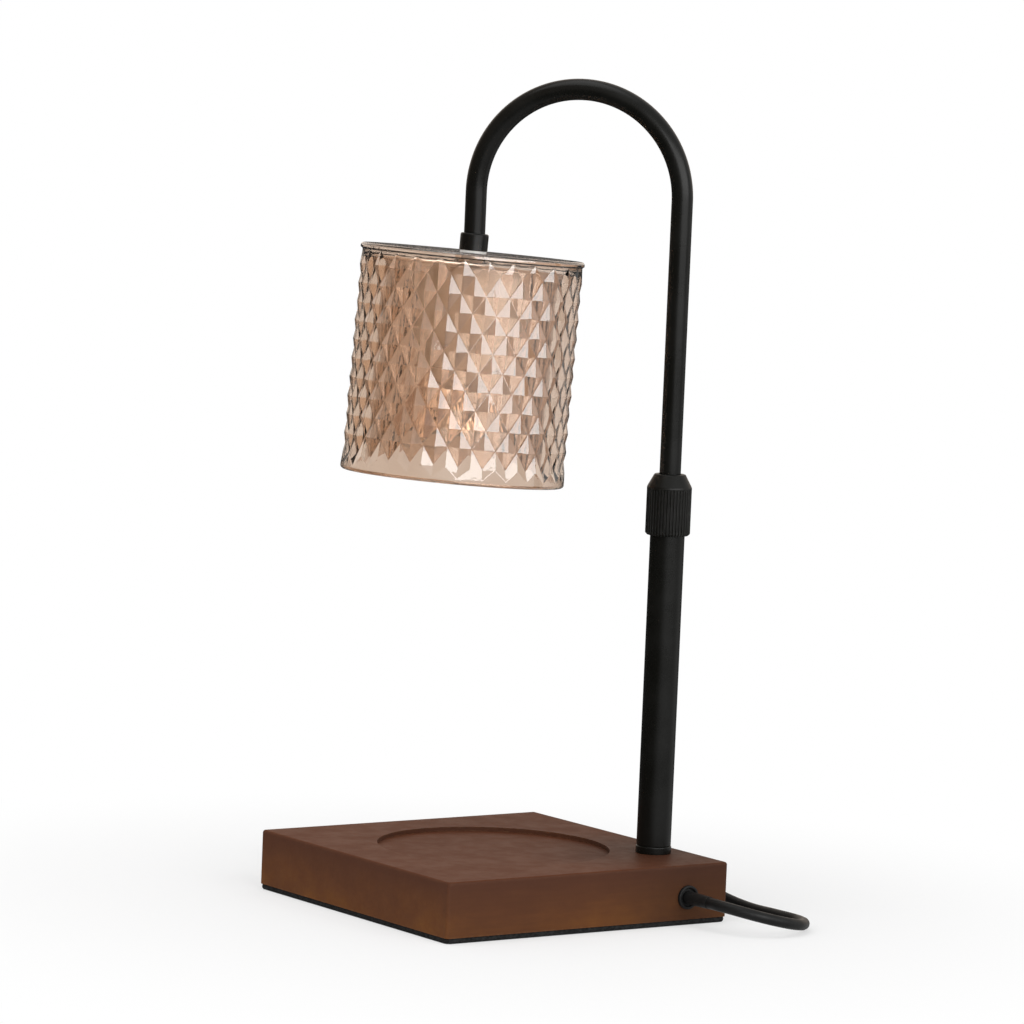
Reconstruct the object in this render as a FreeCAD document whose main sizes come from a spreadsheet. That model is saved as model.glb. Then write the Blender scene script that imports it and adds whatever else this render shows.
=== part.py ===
import FreeCAD, Part

import math
import os

import Sketcher

# Candle warmer lamp: a wooden base with a dished seat for a candle jar, a two-part telescopic post with a
# fluted locking collar, a hooked tube that holds a glass shade and a reflector bulb, mouth down, over the
# candle, and a mains cord with a thumbwheel dimmer and a plug.
#
# Frame: millimetres, +Z up, origin in the middle of the underside. +X points to the side beside the post,
# -Y is the face that the cord leaves.
#
# Every driving size stands in the sheet "sizes" as a plain number, and what follows from them as a formula.

doc = FreeCAD.newDocument("candle_warmer_lamp")
sizes = doc.addObject("Spreadsheet::Sheet", "sizes")
Vector = FreeCAD.Vector

DRIVING = {
    # wooden base and what is under it
    "base_side": 150.0,
    "block_rise": 24.4,
    "block_corner": 1.6,
    "block_edge": 1.2,
    "pad_rise": 2.5,
    "pad_inset": 0.6,
    "pad_corner": 5.0,
    "recess_diameter": 104.0,
    "recess_depth": 2.0,
    "weight_across": -14.0,
    "weight_side": 92.0,
    "weight_thick": 10.0,
    "weight_bolt_circle": 100.0,
    "wood_screw_diameter": 4.0,
    "wood_screw_head_diameter": 8.0,
    "wood_screw_length": 17.0,
    # place of the post and its foot
    "post_side_gap": 16.6,
    "post_front_gap": 33.9,
    "post_web": 10.0,
    "nut_pocket_diameter": 26.0,
    "washer_diameter": 20.0,
    "washer_thick": 1.6,
    "spring_washer_diameter": 16.0,
    "spring_washer_thick": 2.0,
    "spring_washer_split": 1.5,
    "base_nut_flats": 14.0,
    "base_nut_thick": 4.0,
    "nipple_diameter": 10.0,
    "nipple_bore": 7.0,
    "nipple_tail": 1.5,
    "foot_flange_lip": 0.25,
    "foot_flange_rise": 3.4,
    "foot_plug_insert": 12.0,
    # outer tube, collet and knurled collar
    "tube_diameter": 15.4,
    "tube_wall": 1.2,
    "tube_length": 141.1,
    "seat_insert": 8.0,
    "seat_thread_rise": 12.6,
    "seat_thread_step": 0.5,
    "collet_length": 8.2,
    "collet_shoulder": 2.4,
    "collet_foot_wall": 2.05,
    "collet_tip_wall": 0.75,
    "collet_slot": 1.2,
    "collar_wall": 2.3,
    "collar_tip_wall": 1.95,
    "collar_cap": 4.0,
    "collar_nose": 5.8,
    "collar_skirt": 1.8,
    "collar_step": 0.8,
    "collar_chamfer": 0.9,
    "flute_count": 42,
    "flute_width": 0.9,
    "flute_margin": 0.6,
    # hooked tube and what guides it in the post
    "stem_diameter": 9.5,
    "stem_wall": 1.0,
    "stem_insert": 33.4,
    "stem_length": 179.6,
    "bend_radius": 47.2,
    "hook_heading": 130.0,
    "ring_lift": 1.6,
    "ring_wall": 1.35,
    "ring_thick": 1.0,
    "bush_length": 12.0,
    # head: everything that hangs on the nipple at the end of the hook, in its own leaning frame
    "head_drop": 21.4,
    "head_lean": 3.7,
    "hook_end_gap": 0.4,
    "end_plug_length": 7.0,
    "head_nipple_diameter": 5.6,
    "head_nipple_bore": 3.8,
    "head_nipple_rise": 6.0,
    "ferrule_wall": 1.15,
    "ferrule_length": 7.8,
    "ferrule_cup_depth": 3.6,
    "ferrule_cup_gap": 0.45,
    "ferrule_edge": 0.4,
    "gasket_diameter": 12.0,
    "gasket_thick": 0.6,
    "shade_level": -6.0,
    "shade_diameter": 100.4,
    "shade_height": 101.4,
    "shade_wall": 3.2,
    "shade_roof": 3.6,
    "shade_hole_diameter": 10.5,
    "shade_edge": 2.4,
    "rim_edge": 1.4,
    "grommet_flange_diameter": 22.0,
    "grommet_flange_thick": 1.5,
    "cover_diameter": 33.0,
    "cover_height": 34.0,
    "cover_wall": 1.0,
    "cover_edge": 3.0,
    "bracket_thick": 1.0,
    "bracket_width": 8.0,
    "bracket_span": 24.0,
    "bracket_drop": 12.0,
    "bracket_foot": 7.0,
    "lock_nut_flats": 10.0,
    "lock_nut_thick": 3.0,
    "holder_diameter": 28.0,
    "holder_height": 18.0,
    "pin_pitch": 10.0,
    "pin_hole_diameter": 5.6,
    "pin_hole_depth": 13.0,
    "contact_length": 3.0,
    "holder_screw_pitch": 16.0,
    "holder_screw_diameter": 3.0,
    "holder_screw_length": 9.0,
    "holder_screw_head_diameter": 5.2,
    "holder_screw_head_rise": 1.8,
    "bulb_gap": 0.3,
    "pin_head_diameter": 5.0,
    "pin_head_rise": 3.0,
    "pin_stem_diameter": 3.2,
    "pin_rise": 10.0,
    "neck_diameter": 23.0,
    "neck_tip_diameter": 21.0,
    "neck_length": 18.0,
    "reflector_diameter": 50.0,
    "reflector_length": 26.0,
    "reflector_waist_diameter": 40.0,
    "reflector_wall": 1.2,
    "lens_thick": 2.6,
    "capsule_diameter": 9.0,
    "capsule_length": 20.0,
    "capsule_tip": 3.0,
    # leads inside, and the mains cord
    "lead_diameter": 2.6,
    "lead_tail": 2.0,
    "lead_dip": 1.8,
    "core_diameter": 1.2,
    "core_pitch": 1.3,
    "core_drop": 1.5,
    "core_turn_rise": 2.6,
    "cord_diameter": 5.0,
    "cord_out_offset": 5.4,
    "cord_out_level": 12.6,
    "cord_slot_width": 9.0,
    "cord_slot_wall": 9.0,
    "gland_diameter": 9.0,
    "gland_insert": 8.0,
    "gland_flange_diameter": 10.6,
    "gland_flange_thick": 1.4,
    "gland_nose_diameter": 7.2,
    "gland_tip_diameter": 6.2,
    "gland_nose_length": 15.0,
    # coil of spare cord behind the base
    "coil_side_gap": 63.0,
    "coil_gap": 5.0,
    "coil_middle_radius": 30.0,
    "coil_columns": 4,
    "coil_layers": 2,
    "coil_edge": 2.0,
    "tie_thick": 0.6,
    "tie_span": 16.0,
    "tie_heading": 200.0,
    # thumbwheel dimmer on the cord
    "dimmer_gap": 3.0,
    "dimmer_deep": 15.5,
    "dimmer_length": 62.0,
    "dimmer_width": 28.0,
    "dimmer_rise": 16.0,
    "dimmer_split": 7.5,
    "dimmer_wall": 1.6,
    "dimmer_corner": 5.0,
    "dimmer_edge": 1.5,
    "dimmer_cord_level": 7.5,
    "dimmer_relief_length": 12.0,
    "dimmer_relief_insert": 8.4,
    "dimmer_relief_diameter": 8.0,
    "dimmer_relief_tip": 6.2,
    "dimmer_screw_reach": 25.0,
    "dimmer_screw_across": -8.0,
    "dimmer_screw_diameter": 2.4,
    "dimmer_screw_head_diameter": 4.4,
    "dimmer_screw_head_rise": 1.2,
    "dimmer_boss_diameter": 6.0,
    "dimmer_boss_hole_depth": 5.0,
    "board_length": 40.0,
    "board_width": 20.0,
    "board_thick": 1.2,
    "pot_diameter": 12.0,
    "pot_rise": 2.4,
    "shaft_diameter": 4.0,
    "shaft_rise": 9.0,
    "wheel_across": 4.0,
    "wheel_diameter": 26.0,
    "wheel_thick": 5.0,
    "wheel_level": 5.5,
    "wheel_notch_count": 36,
    "wheel_notch_width": 1.1,
    "wheel_edge": 0.6,
    # plug
    "plug_side_gap": 3.8,
    "plug_back_gap": 46.0,
    "plug_level": 6.8,
    "plug_heading": -30.0,
    "plug_length": 26.0,
    "plug_width": 22.0,
    "plug_thick": 13.6,
    "plug_round": 4.0,
    "plug_edge": 1.5,
    "plug_relief_length": 10.0,
    "plug_relief_insert": 10.0,
    "plug_relief_diameter": 9.0,
    "plug_relief_tip": 6.2,
    "blade_pitch": 12.7,
    "blade_width": 6.3,
    "blade_thick": 1.5,
    "blade_length": 17.0,
    "blade_insert": 6.0,
    "blade_hole_diameter": 3.0,
    "blade_hole_reach": 12.0,
    # clearances
    "seat_gap": 0.05,
    "running_gap": 0.05,
    "guide_gap": 0.1,
    "free_gap": 0.3,
}

DERIVED = {
    "base_half": "base_side / 2",
    "base_front": "-base_side / 2",
    "post_across": "base_half - post_side_gap",
    "post_deep": "base_front + post_front_gap",
    "block_top": "pad_rise + block_rise",
    "pad_side": "base_side - 2 * pad_inset",
    "recess_radius": "recess_diameter / 2",
    "weight_pocket_side": "weight_side + 2 * free_gap",
    "weight_pocket_depth": "weight_thick + free_gap",
    "weight_low": "pad_rise + free_gap",
    "weight_bolt_radius": "weight_bolt_circle / 2",
    "screw_radius": "wood_screw_diameter / 2",
    "screw_head_radius": "wood_screw_head_diameter / 2",
    "screw_hole_radius": "screw_radius + seat_gap",
    "screw_hole_depth": "weight_pocket_depth + wood_screw_length - weight_thick + free_gap",
    "screw_neck": "screw_head_radius - screw_radius",
    "screw_neck_level": "weight_low + screw_neck",
    "screw_tip_level": "weight_low + wood_screw_length",
    "weight_screw_step": "weight_bolt_radius * cos(45)",
    "nut_ceiling": "block_top - post_web",
    "nut_pocket_depth": "nut_ceiling - pad_rise",
    "nut_pocket_radius": "nut_pocket_diameter / 2",
    "nipple_radius": "nipple_diameter / 2",
    "nipple_seat_radius": "nipple_radius + seat_gap",
    "nipple_bore_radius": "nipple_bore / 2",
    "washer_low": "nut_ceiling - washer_thick",
    "washer_radius": "washer_diameter / 2",
    "spring_low": "washer_low - spring_washer_thick",
    "spring_radius": "spring_washer_diameter / 2",
    "base_nut_low": "spring_low - base_nut_thick",
    "base_nut_radius": "base_nut_flats / 2 / cos(30)",
    "nipple_low": "base_nut_low - nipple_tail",
    "foot_flange_top": "block_top + foot_flange_rise",
    "foot_flange_radius": "tube_radius + foot_flange_lip",
    "foot_plug_top": "foot_flange_top + foot_plug_insert",
    "nipple_top": "foot_plug_top - nipple_tail",
    "tube_radius": "tube_diameter / 2",
    "tube_bore_radius": "tube_radius - tube_wall",
    "insert_radius": "tube_bore_radius - seat_gap",
    "tube_top": "foot_flange_top + tube_length",
    "seat_low": "tube_top - seat_insert",
    "seat_top": "tube_top + seat_thread_rise",
    "seat_thread_radius": "tube_radius - seat_thread_step",
    "stem_radius": "stem_diameter / 2",
    "stem_bore_radius": "stem_radius - stem_wall",
    "stem_free_radius": "stem_radius + free_gap",
    "stem_running_radius": "stem_radius + running_gap",
    "collet_low": "seat_top + free_gap",
    "collet_cone_low": "collet_low + collet_shoulder",
    "collet_top": "collet_low + collet_length",
    "collet_foot_radius": "stem_radius + collet_foot_wall",
    "collet_foot_diameter": "2 * collet_foot_radius",
    "collet_tip_radius": "stem_radius + collet_tip_wall",
    "collar_low": "tube_top - collar_skirt",
    "collar_bottom_high": "collar_low + collar_chamfer",
    "collar_step_level": "tube_top + collar_step",
    "collar_top": "chamber_top + collar_cap",
    "collar_nose_low": "collar_top - collar_nose",
    "collar_radius": "tube_radius + collar_wall",
    "collar_bottom_radius": "collar_radius - collar_chamfer",
    "collar_tip_radius": "stem_radius + collar_tip_wall",
    "collar_skirt_radius": "tube_radius + free_gap",
    "collar_thread_radius": "seat_thread_radius + free_gap",
    "chamber_foot_radius": "collet_foot_radius + free_gap",
    "chamber_tip_radius": "collet_tip_radius + free_gap",
    "chamber_top": "collet_top + free_gap",
    "flute_top": "collar_nose_low - flute_margin",
    "flute_length": "flute_top - collar_low",
    "flute_half": "flute_width / 2",
    "stem_low": "tube_top - stem_insert",
    "bend_level": "stem_low + stem_length",
    "head_level": "bend_level - head_drop",
    "ring_radius": "stem_radius + ring_wall",
    "ring_bore_radius": "stem_radius + seat_gap",
    "low_ring_low": "stem_low + ring_lift",
    "low_ring_top": "low_ring_low + ring_thick",
    "hook_end_local": "hook_end_level - stem_low",
    "bush_low": "low_ring_top + running_gap",
    "bush_top": "bush_low + bush_length",
    "bush_radius": "tube_bore_radius - guide_gap",
    "high_ring_low": "bush_top + running_gap",
    "high_ring_top": "high_ring_low + ring_thick",
    "head_across": "post_across + 2 * bend_radius * cos(hook_heading)",
    "head_deep": "post_deep + 2 * bend_radius * sin(hook_heading)",
    "hook_reach": "2 * bend_radius",
    "hook_end_level": "head_level - hook_end_gap",
    "end_plug_radius": "stem_bore_radius - seat_gap",
    "drill_drop": "end_plug_length",
    "drill_length": "3 * end_plug_length",
    "head_nipple_radius": "head_nipple_diameter / 2",
    "head_nipple_seat": "head_nipple_radius + seat_gap",
    "head_nipple_bore_radius": "head_nipple_bore / 2",
    "ferrule_cup_radius": "stem_radius + ferrule_cup_gap",
    "ferrule_radius": "ferrule_cup_radius + ferrule_wall",
    "ferrule_low": "shade_level + gasket_thick",
    "ferrule_top": "ferrule_low + ferrule_length",
    "ferrule_cup_low": "ferrule_top - ferrule_cup_depth",
    "ferrule_shoulder": "ferrule_top - ferrule_edge",
    "ferrule_neck_radius": "ferrule_radius - ferrule_edge",
    "gasket_radius": "gasket_diameter / 2",
    "shade_radius": "shade_diameter / 2",
    "shade_low": "shade_level - shade_height",
    "shade_roof_low": "shade_level - shade_roof",
    "shade_bore_radius": "shade_radius - shade_wall",
    "shade_hole_radius": "shade_hole_diameter / 2",
    "spigot_top": "shade_level - seat_gap",
    "spigot_radius": "shade_hole_radius - seat_gap",
    "grommet_flange_radius": "grommet_flange_diameter / 2",
    "grommet_low": "shade_roof_low - grommet_flange_thick",
    "cover_radius": "cover_diameter / 2",
    "cover_bore_radius": "cover_radius - cover_wall",
    "cover_low": "grommet_low - cover_height",
    "cover_roof_low": "grommet_low - cover_wall",
    "bracket_low": "cover_roof_low - bracket_thick",
    "bracket_half": "bracket_width / 2",
    "bracket_reach": "bracket_span / 2",
    "bracket_inner": "bracket_reach - bracket_thick",
    "bracket_foot_top": "bracket_foot_low + bracket_thick",
    "bracket_foot_low": "bracket_low - bracket_drop",
    "bracket_foot_reach": "bracket_reach - bracket_foot",
    "lock_nut_low": "bracket_low - lock_nut_thick",
    "lock_nut_radius": "lock_nut_flats / 2 / cos(30)",
    "head_nipple_low": "lock_nut_low - nipple_tail",
    "holder_radius": "holder_diameter / 2",
    "holder_low": "bracket_foot_low - holder_height",
    "pin_reach": "pin_pitch / 2",
    "pin_hole_radius": "pin_hole_diameter / 2",
    "contact_radius": "pin_hole_radius - seat_gap",
    "contact_top": "holder_low + pin_hole_depth",
    "contact_low": "contact_top - contact_length",
    "holder_screw_reach": "holder_screw_pitch / 2",
    "holder_screw_radius": "holder_screw_diameter / 2",
    "holder_screw_hole_radius": "holder_screw_radius + seat_gap",
    "holder_screw_low": "bracket_foot_top - holder_screw_length",
    "holder_screw_hole_depth": "holder_screw_length - bracket_thick + seat_gap",
    "holder_screw_head_radius": "holder_screw_head_diameter / 2",
    "holder_screw_top": "bracket_foot_top + holder_screw_head_rise",
    "bulb_top": "holder_low - bulb_gap",
    "pin_top": "bulb_top + pin_rise",
    "pin_head_low": "pin_top - pin_head_rise",
    "pin_head_radius": "pin_head_diameter / 2",
    "pin_stem_radius": "pin_stem_diameter / 2",
    "neck_radius": "neck_diameter / 2",
    "neck_tip_radius": "neck_tip_diameter / 2",
    "neck_low": "bulb_top - neck_length",
    "reflector_radius": "reflector_diameter / 2",
    "reflector_low": "neck_low - reflector_length",
    "reflector_waist_radius": "reflector_waist_diameter / 2",
    "reflector_waist_level": "neck_low - reflector_length / 2",
    "reflector_neck_bore": "neck_tip_radius - 2 * reflector_wall",
    "reflector_waist_bore": "reflector_waist_radius - reflector_wall",
    "reflector_rim_bore": "reflector_radius - reflector_wall",
    "reflector_rim_top": "reflector_low + reflector_wall",
    "lens_low": "reflector_low - lens_thick",
    "capsule_radius": "capsule_diameter / 2",
    "capsule_shoulder": "neck_low - capsule_length",
    "capsule_low": "capsule_shoulder - capsule_tip",
    "capsule_tip_radius": "capsule_radius - capsule_tip",
    "lead_radius": "lead_diameter / 2",
    "lead_low": "stem_low - lead_tail",
    "cord_radius": "cord_diameter / 2",
    "cord_seat_radius": "cord_radius + seat_gap",
    "cord_out_across": "post_across - cord_out_offset",
    "cord_slot_front": "base_front + cord_slot_wall",
    "cord_slot_length": "post_deep - cord_slot_front",
    "cord_slot_deep": "(post_deep + cord_slot_front) / 2",
    "cord_hole_level": "cord_out_level - pad_rise",
    "cord_hole_depth": "cord_slot_wall + free_gap",
    "lead_dip_level": "pad_rise + lead_dip",
    "core_radius": "core_diameter / 2",
    "core_hole_radius": "core_radius + seat_gap",
    "core_reach": "core_pitch / 2",
    "core_bend_level": "head_nipple_low - core_drop",
    "core_turn_level": "bracket_foot_low + core_turn_rise",
    "core_hole_depth": "bracket_foot_low - contact_top",
    "gland_radius": "gland_diameter / 2",
    "gland_hole_radius": "gland_radius + seat_gap",
    "gland_flange_radius": "gland_flange_diameter / 2",
    "gland_nose_radius": "gland_nose_diameter / 2",
    "gland_tip_radius": "gland_tip_diameter / 2",
    "gland_nose_top": "gland_flange_thick + gland_nose_length",
    "coil_half_width": "coil_columns * cord_diameter / 2",
    "coil_across": "base_half - coil_side_gap",
    "coil_deep": "base_half + coil_gap + coil_outer_radius",
    "coil_inner_radius": "coil_middle_radius - coil_half_width",
    "coil_outer_radius": "coil_middle_radius + coil_half_width",
    "coil_rise": "coil_layers * cord_diameter",
    "coil_top": "tie_thick + coil_rise",
    "tie_bore_near": "coil_inner_radius - seat_gap",
    "tie_bore_far": "coil_outer_radius + seat_gap",
    "tie_bore_low": "tie_thick - seat_gap",
    "tie_bore_top": "coil_top + seat_gap",
    "tie_near": "tie_bore_near - tie_thick",
    "tie_far": "tie_bore_far + tie_thick",
    "tie_top": "tie_bore_top + tie_thick",
    "dimmer_across": "base_half + dimmer_gap + dimmer_width / 2",
    "dimmer_half_length": "dimmer_length / 2",
    "dimmer_front_inside": "dimmer_deep - dimmer_half_length + dimmer_wall",
    "dimmer_back_inside": "dimmer_deep + dimmer_half_length - dimmer_wall",
    "dimmer_inner_length": "dimmer_length - 2 * dimmer_wall",
    "dimmer_inner_width": "dimmer_width - 2 * dimmer_wall",
    "dimmer_lower_depth": "dimmer_split - dimmer_wall",
    "dimmer_ceiling": "dimmer_rise - dimmer_wall",
    "dimmer_upper_rise": "dimmer_rise - dimmer_split",
    "dimmer_upper_depth": "dimmer_ceiling - dimmer_split",
    "dimmer_relief_end": "dimmer_half_length + dimmer_relief_length",
    "dimmer_relief_start": "dimmer_half_length - dimmer_relief_insert",
    "dimmer_relief_hole_radius": "dimmer_relief_radius + seat_gap",
    "dimmer_screw_place": "dimmer_across + dimmer_screw_across",
    "dimmer_relief_radius": "dimmer_relief_diameter / 2",
    "dimmer_relief_tip_radius": "dimmer_relief_tip / 2",
    "dimmer_screw_radius": "dimmer_screw_diameter / 2",
    "dimmer_screw_hole_radius": "dimmer_screw_radius + seat_gap",
    "dimmer_screw_head_radius": "dimmer_screw_head_diameter / 2",
    "dimmer_screw_sink_radius": "dimmer_screw_head_radius + seat_gap",
    "dimmer_boss_radius": "dimmer_boss_diameter / 2",
    "dimmer_boss_low": "dimmer_wall + seat_gap",
    "dimmer_boss_rise": "dimmer_ceiling - dimmer_boss_low",
    "dimmer_screw_top": "dimmer_boss_low + dimmer_boss_hole_depth - seat_gap",
    "board_top": "dimmer_wall + board_thick",
    "pot_top": "board_top + pot_rise",
    "pot_radius": "pot_diameter / 2",
    "shaft_radius": "shaft_diameter / 2",
    "shaft_top": "pot_top + shaft_rise",
    "wheel_place": "dimmer_across + wheel_across",
    "wheel_notch_half": "wheel_notch_width / 2",
    "wheel_radius": "wheel_diameter / 2",
    "wheel_bore_radius": "shaft_radius + running_gap",
    "wheel_top": "wheel_level + wheel_thick",
    "wheel_slot_radius": "wheel_radius + free_gap",
    "wheel_slot_low": "wheel_level - free_gap",
    "wheel_slot_rise": "wheel_top + free_gap - wheel_slot_low",
    "plug_back_across": "base_half + plug_side_gap",
    "plug_back_deep": "base_half + plug_back_gap",
    "plug_relief_radius": "plug_relief_diameter / 2",
    "plug_relief_hole_radius": "plug_relief_radius + seat_gap",
    "plug_relief_tip_radius": "plug_relief_tip / 2",
    "blade_reach": "blade_pitch / 2",
    "blade_total": "blade_length + blade_insert",
    "blade_root": "plug_length - blade_insert",
    "blade_slot_width": "blade_thick + 2 * seat_gap",
    "blade_slot_rise": "blade_width + 2 * seat_gap",
    "blade_hole_radius": "blade_hole_diameter / 2",
    "blade_hole_across": "plug_length + blade_hole_reach",
    "blade_sweep": "2 * blade_pitch",
}

for row, (name, number) in enumerate(DRIVING.items(), start=1):
    sizes.set(f"A{row}", name.replace("_", " "))
    sizes.set(f"B{row}", str(number))
    sizes.setAlias(f"B{row}", name)
for row, (name, formula) in enumerate(DERIVED.items(), start=1):
    sizes.set(f"D{row}", name.replace("_", " "))
    sizes.setAlias(f"E{row}", name)
for row, (name, formula) in enumerate(DERIVED.items(), start=1):
    sizes.set(f"E{row}", "=" + formula)
doc.recompute()


def value(name):
    """Number behind a name of the sheet; a leading minus turns its sign, and 0 is itself."""
    if name == 0:
        return 0.0
    number = float(getattr(sizes, name.lstrip("-")))
    return -number if name.startswith("-") else number


def cell(name):
    """Expression that reads a name of the sheet, for setExpression."""
    return "-sizes." + name[1:] if name.startswith("-") else "sizes." + name


# ---------------------------------------------------------------------------------------------------------
# Sketches and features

def plane(body, role):
    """Origin plane or axis of a body, found by its role."""
    return [feature for feature in body.Origin.OriginFeatures if feature.Role == role][0]


def placing(across, deep, level, axis=(0, 0, 1), angle="0"):
    """Expression for a Placement from three names (or 0) and a turn about an axis by a name or number."""
    place = "; ".join("0" if name == 0 else cell(name) for name in (across, deep, level))
    turn_axis = "; ".join(str(number) for number in axis)
    turn = cell(angle) if angle.isidentifier() else angle
    rotation = f"create(<<rotation>>; create(<<vector>>; {turn_axis}); {turn})"
    return f"create(<<placement>>; create(<<vector>>; {place}); {rotation})"


def new_body(label, across=0, deep=0, level=0, axis=(0, 0, 1), angle="0"):
    """Body with its own label, placed by names of the sheet."""
    body = doc.addObject("PartDesign::Body", label)
    body.Label = label
    body.setExpression("Placement", placing(across, deep, level, axis, angle))
    return body


def post_body(label):
    """Body whose Z axis is the axis of the post."""
    return new_body(label, "post_across", "post_deep")


def head_body(label):
    """Body in the leaning frame of the head, whose origin is on the axis of the hook's end."""
    return new_body(label, "head_across", "head_deep", "head_level", (0, 1, 0), "head_lean")


def new_sketch(body, role, lift=None, shift=None):
    """Sketch on an origin plane; lift moves it along the plane's normal, shift along its first axis."""
    sketch = body.newObject("Sketcher::SketchObject", body.Name + "_sketch")
    sketch.AttachmentSupport = [(plane(body, role), "")]
    sketch.MapMode = "FlatFace"
    if lift:
        sketch.setExpression("AttachmentOffset.Base.z", cell(lift))
    if shift:
        sketch.setExpression("AttachmentOffset.Base.x", cell(shift))
    return sketch


def pin_point(sketch, geometry, end, across, up):
    """Tie one point of a sketch to two names of the sheet; a zero puts it on that axis."""
    for kind, name, axis in (("DistanceX", across, -2), ("DistanceY", up, -1)):
        if name == 0:
            sketch.addConstraint(Sketcher.Constraint("PointOnObject", geometry, end, axis))
        else:
            rule = Sketcher.Constraint(kind, -1, 1, geometry, end, value(name))
            index = sketch.addConstraint(rule)
            sketch.setExpression(f"Constraints[{index}]", cell(name))


def outline(sketch, points):
    """Closed outline of straight edges through points given as pairs of names."""
    corners = [Vector(value(across), value(up), 0) for across, up in points]
    first = sketch.GeometryCount
    count = len(points)
    for index in range(count):
        sketch.addGeometry(Part.LineSegment(corners[index], corners[(index + 1) % count]))
    for index in range(count):
        after = first + (index + 1) % count
        sketch.addConstraint(Sketcher.Constraint("Coincident", first + index, 2, after, 1))
    for index, (across, up) in enumerate(points):
        pin_point(sketch, first + index, 1, across, up)


def circle(sketch, radius, across=0, up=0):
    """Circle of a named radius about a named centre."""
    middle = Vector(value(across), value(up), 0)
    index = sketch.addGeometry(Part.Circle(middle, Vector(0, 0, 1), value(radius)))
    pin_point(sketch, index, 3, across, up)
    rule = sketch.addConstraint(Sketcher.Constraint("Radius", index, value(radius)))
    sketch.setExpression(f"Constraints[{rule}]", cell(radius))


def rectangle(sketch, width, depth, across=0, up=0):
    """Upright rectangle of named width and depth about a named centre."""
    half_width, half_depth = value(width) / 2, value(depth) / 2
    middle = Vector(value(across), value(up), 0)
    signs = ((-1, -1), (1, -1), (1, 1), (-1, 1))
    corners = [middle + Vector(x * half_width, y * half_depth, 0) for x, y in signs]
    first = sketch.GeometryCount
    for index in range(4):
        sketch.addGeometry(Part.LineSegment(corners[index], corners[(index + 1) % 4]))
    centre = sketch.addGeometry(Part.Point(middle), True)
    for index in range(4):
        after = first + (index + 1) % 4
        sketch.addConstraint(Sketcher.Constraint("Coincident", first + index, 2, after, 1))
    for side, rule in ((0, "Horizontal"), (2, "Horizontal"), (1, "Vertical"), (3, "Vertical")):
        sketch.addConstraint(Sketcher.Constraint(rule, first + side))
    sketch.addConstraint(Sketcher.Constraint("Symmetric", first, 1, first + 2, 1, centre, 1))
    pin_point(sketch, centre, 1, across, up)
    for side, rule, name in ((0, "DistanceX", width), (1, "DistanceY", depth)):
        index = sketch.addConstraint(
            Sketcher.Constraint(rule, first + side, 1, first + side, 2, value(name))
        )
        sketch.setExpression(f"Constraints[{index}]", cell(name))


def hexagon(sketch, radius):
    """Regular hexagon about the origin whose corners lie on a circle of named radius."""
    first = Vector(value(radius), 0, 0)
    corners = [FreeCAD.Rotation(Vector(0, 0, 1), 60 * turn).multVec(first) for turn in range(6)]
    for index in range(6):
        sketch.addGeometry(Part.LineSegment(corners[index], corners[(index + 1) % 6]))
    ring = sketch.addGeometry(Part.Circle(Vector(0, 0, 0), Vector(0, 0, 1), value(radius)), True)
    sketch.addConstraint(Sketcher.Constraint("Coincident", ring, 3, -1, 1))
    rule = sketch.addConstraint(Sketcher.Constraint("Radius", ring, value(radius)))
    sketch.setExpression(f"Constraints[{rule}]", cell(radius))
    for index in range(6):
        sketch.addConstraint(Sketcher.Constraint("Coincident", index, 2, (index + 1) % 6, 1))
        sketch.addConstraint(Sketcher.Constraint("PointOnObject", index, 1, ring))
    for index in range(1, 6):
        sketch.addConstraint(Sketcher.Constraint("Equal", 0, index))
    sketch.addConstraint(Sketcher.Constraint("PointOnObject", 0, 1, -1))


def pad(body, sketch, length):
    """Extrude a sketch upwards by a named length."""
    feature = body.newObject("PartDesign::Pad", body.Name + "_pad")
    feature.Profile = sketch
    feature.setExpression("Length", cell(length))
    return feature


def pocket(body, sketch, length, upwards):
    """Cut a sketch into the body by a named length, upwards or downwards, and make sure that it cuts."""
    doc.recompute()
    before = body.Shape.Volume
    feature = body.newObject("PartDesign::Pocket", body.Name + "_pocket")
    feature.Profile = sketch
    feature.setExpression("Length", cell(length))
    feature.Reversed = upwards
    doc.recompute()
    if body.Shape.Volume > before - 1e-6:
        raise ValueError(f"a pocket of {body.Label} cuts nothing")
    return feature


def spin(body, sketch, axis="V_Axis"):
    """Revolve a sketch once about one of its own axes."""
    feature = body.newObject("PartDesign::Revolution", body.Name + "_turned")
    feature.Profile = sketch
    feature.ReferenceAxis = (sketch, [axis])
    feature.Angle = 360
    return feature


def around(body, feature, count):
    """Repeat a feature around the body's Z axis a given number of times."""
    pattern = body.newObject("PartDesign::PolarPattern", body.Name + "_around")
    pattern.Originals = [feature]
    pattern.Axis = (plane(body, "Z_Axis"), [""])
    pattern.Angle = 360
    pattern.Occurrences = count
    body.Tip = pattern
    return pattern


def turned(body, points, reach=None, count=1, role="XZ_Plane"):
    """Turned piece from an outline of (radius, level) names; a reach puts copies around the body's axis."""
    sketch = new_sketch(body, role, shift=reach)
    outline(sketch, points)
    feature = spin(body, sketch)
    if count > 1:
        around(body, feature, count)
    return body


def ring_points(inner, outer, low, top):
    """Outline of a plain ring or disc between two radii and two levels."""
    return [(inner, low), (outer, low), (outer, top), (inner, top)]


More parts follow.
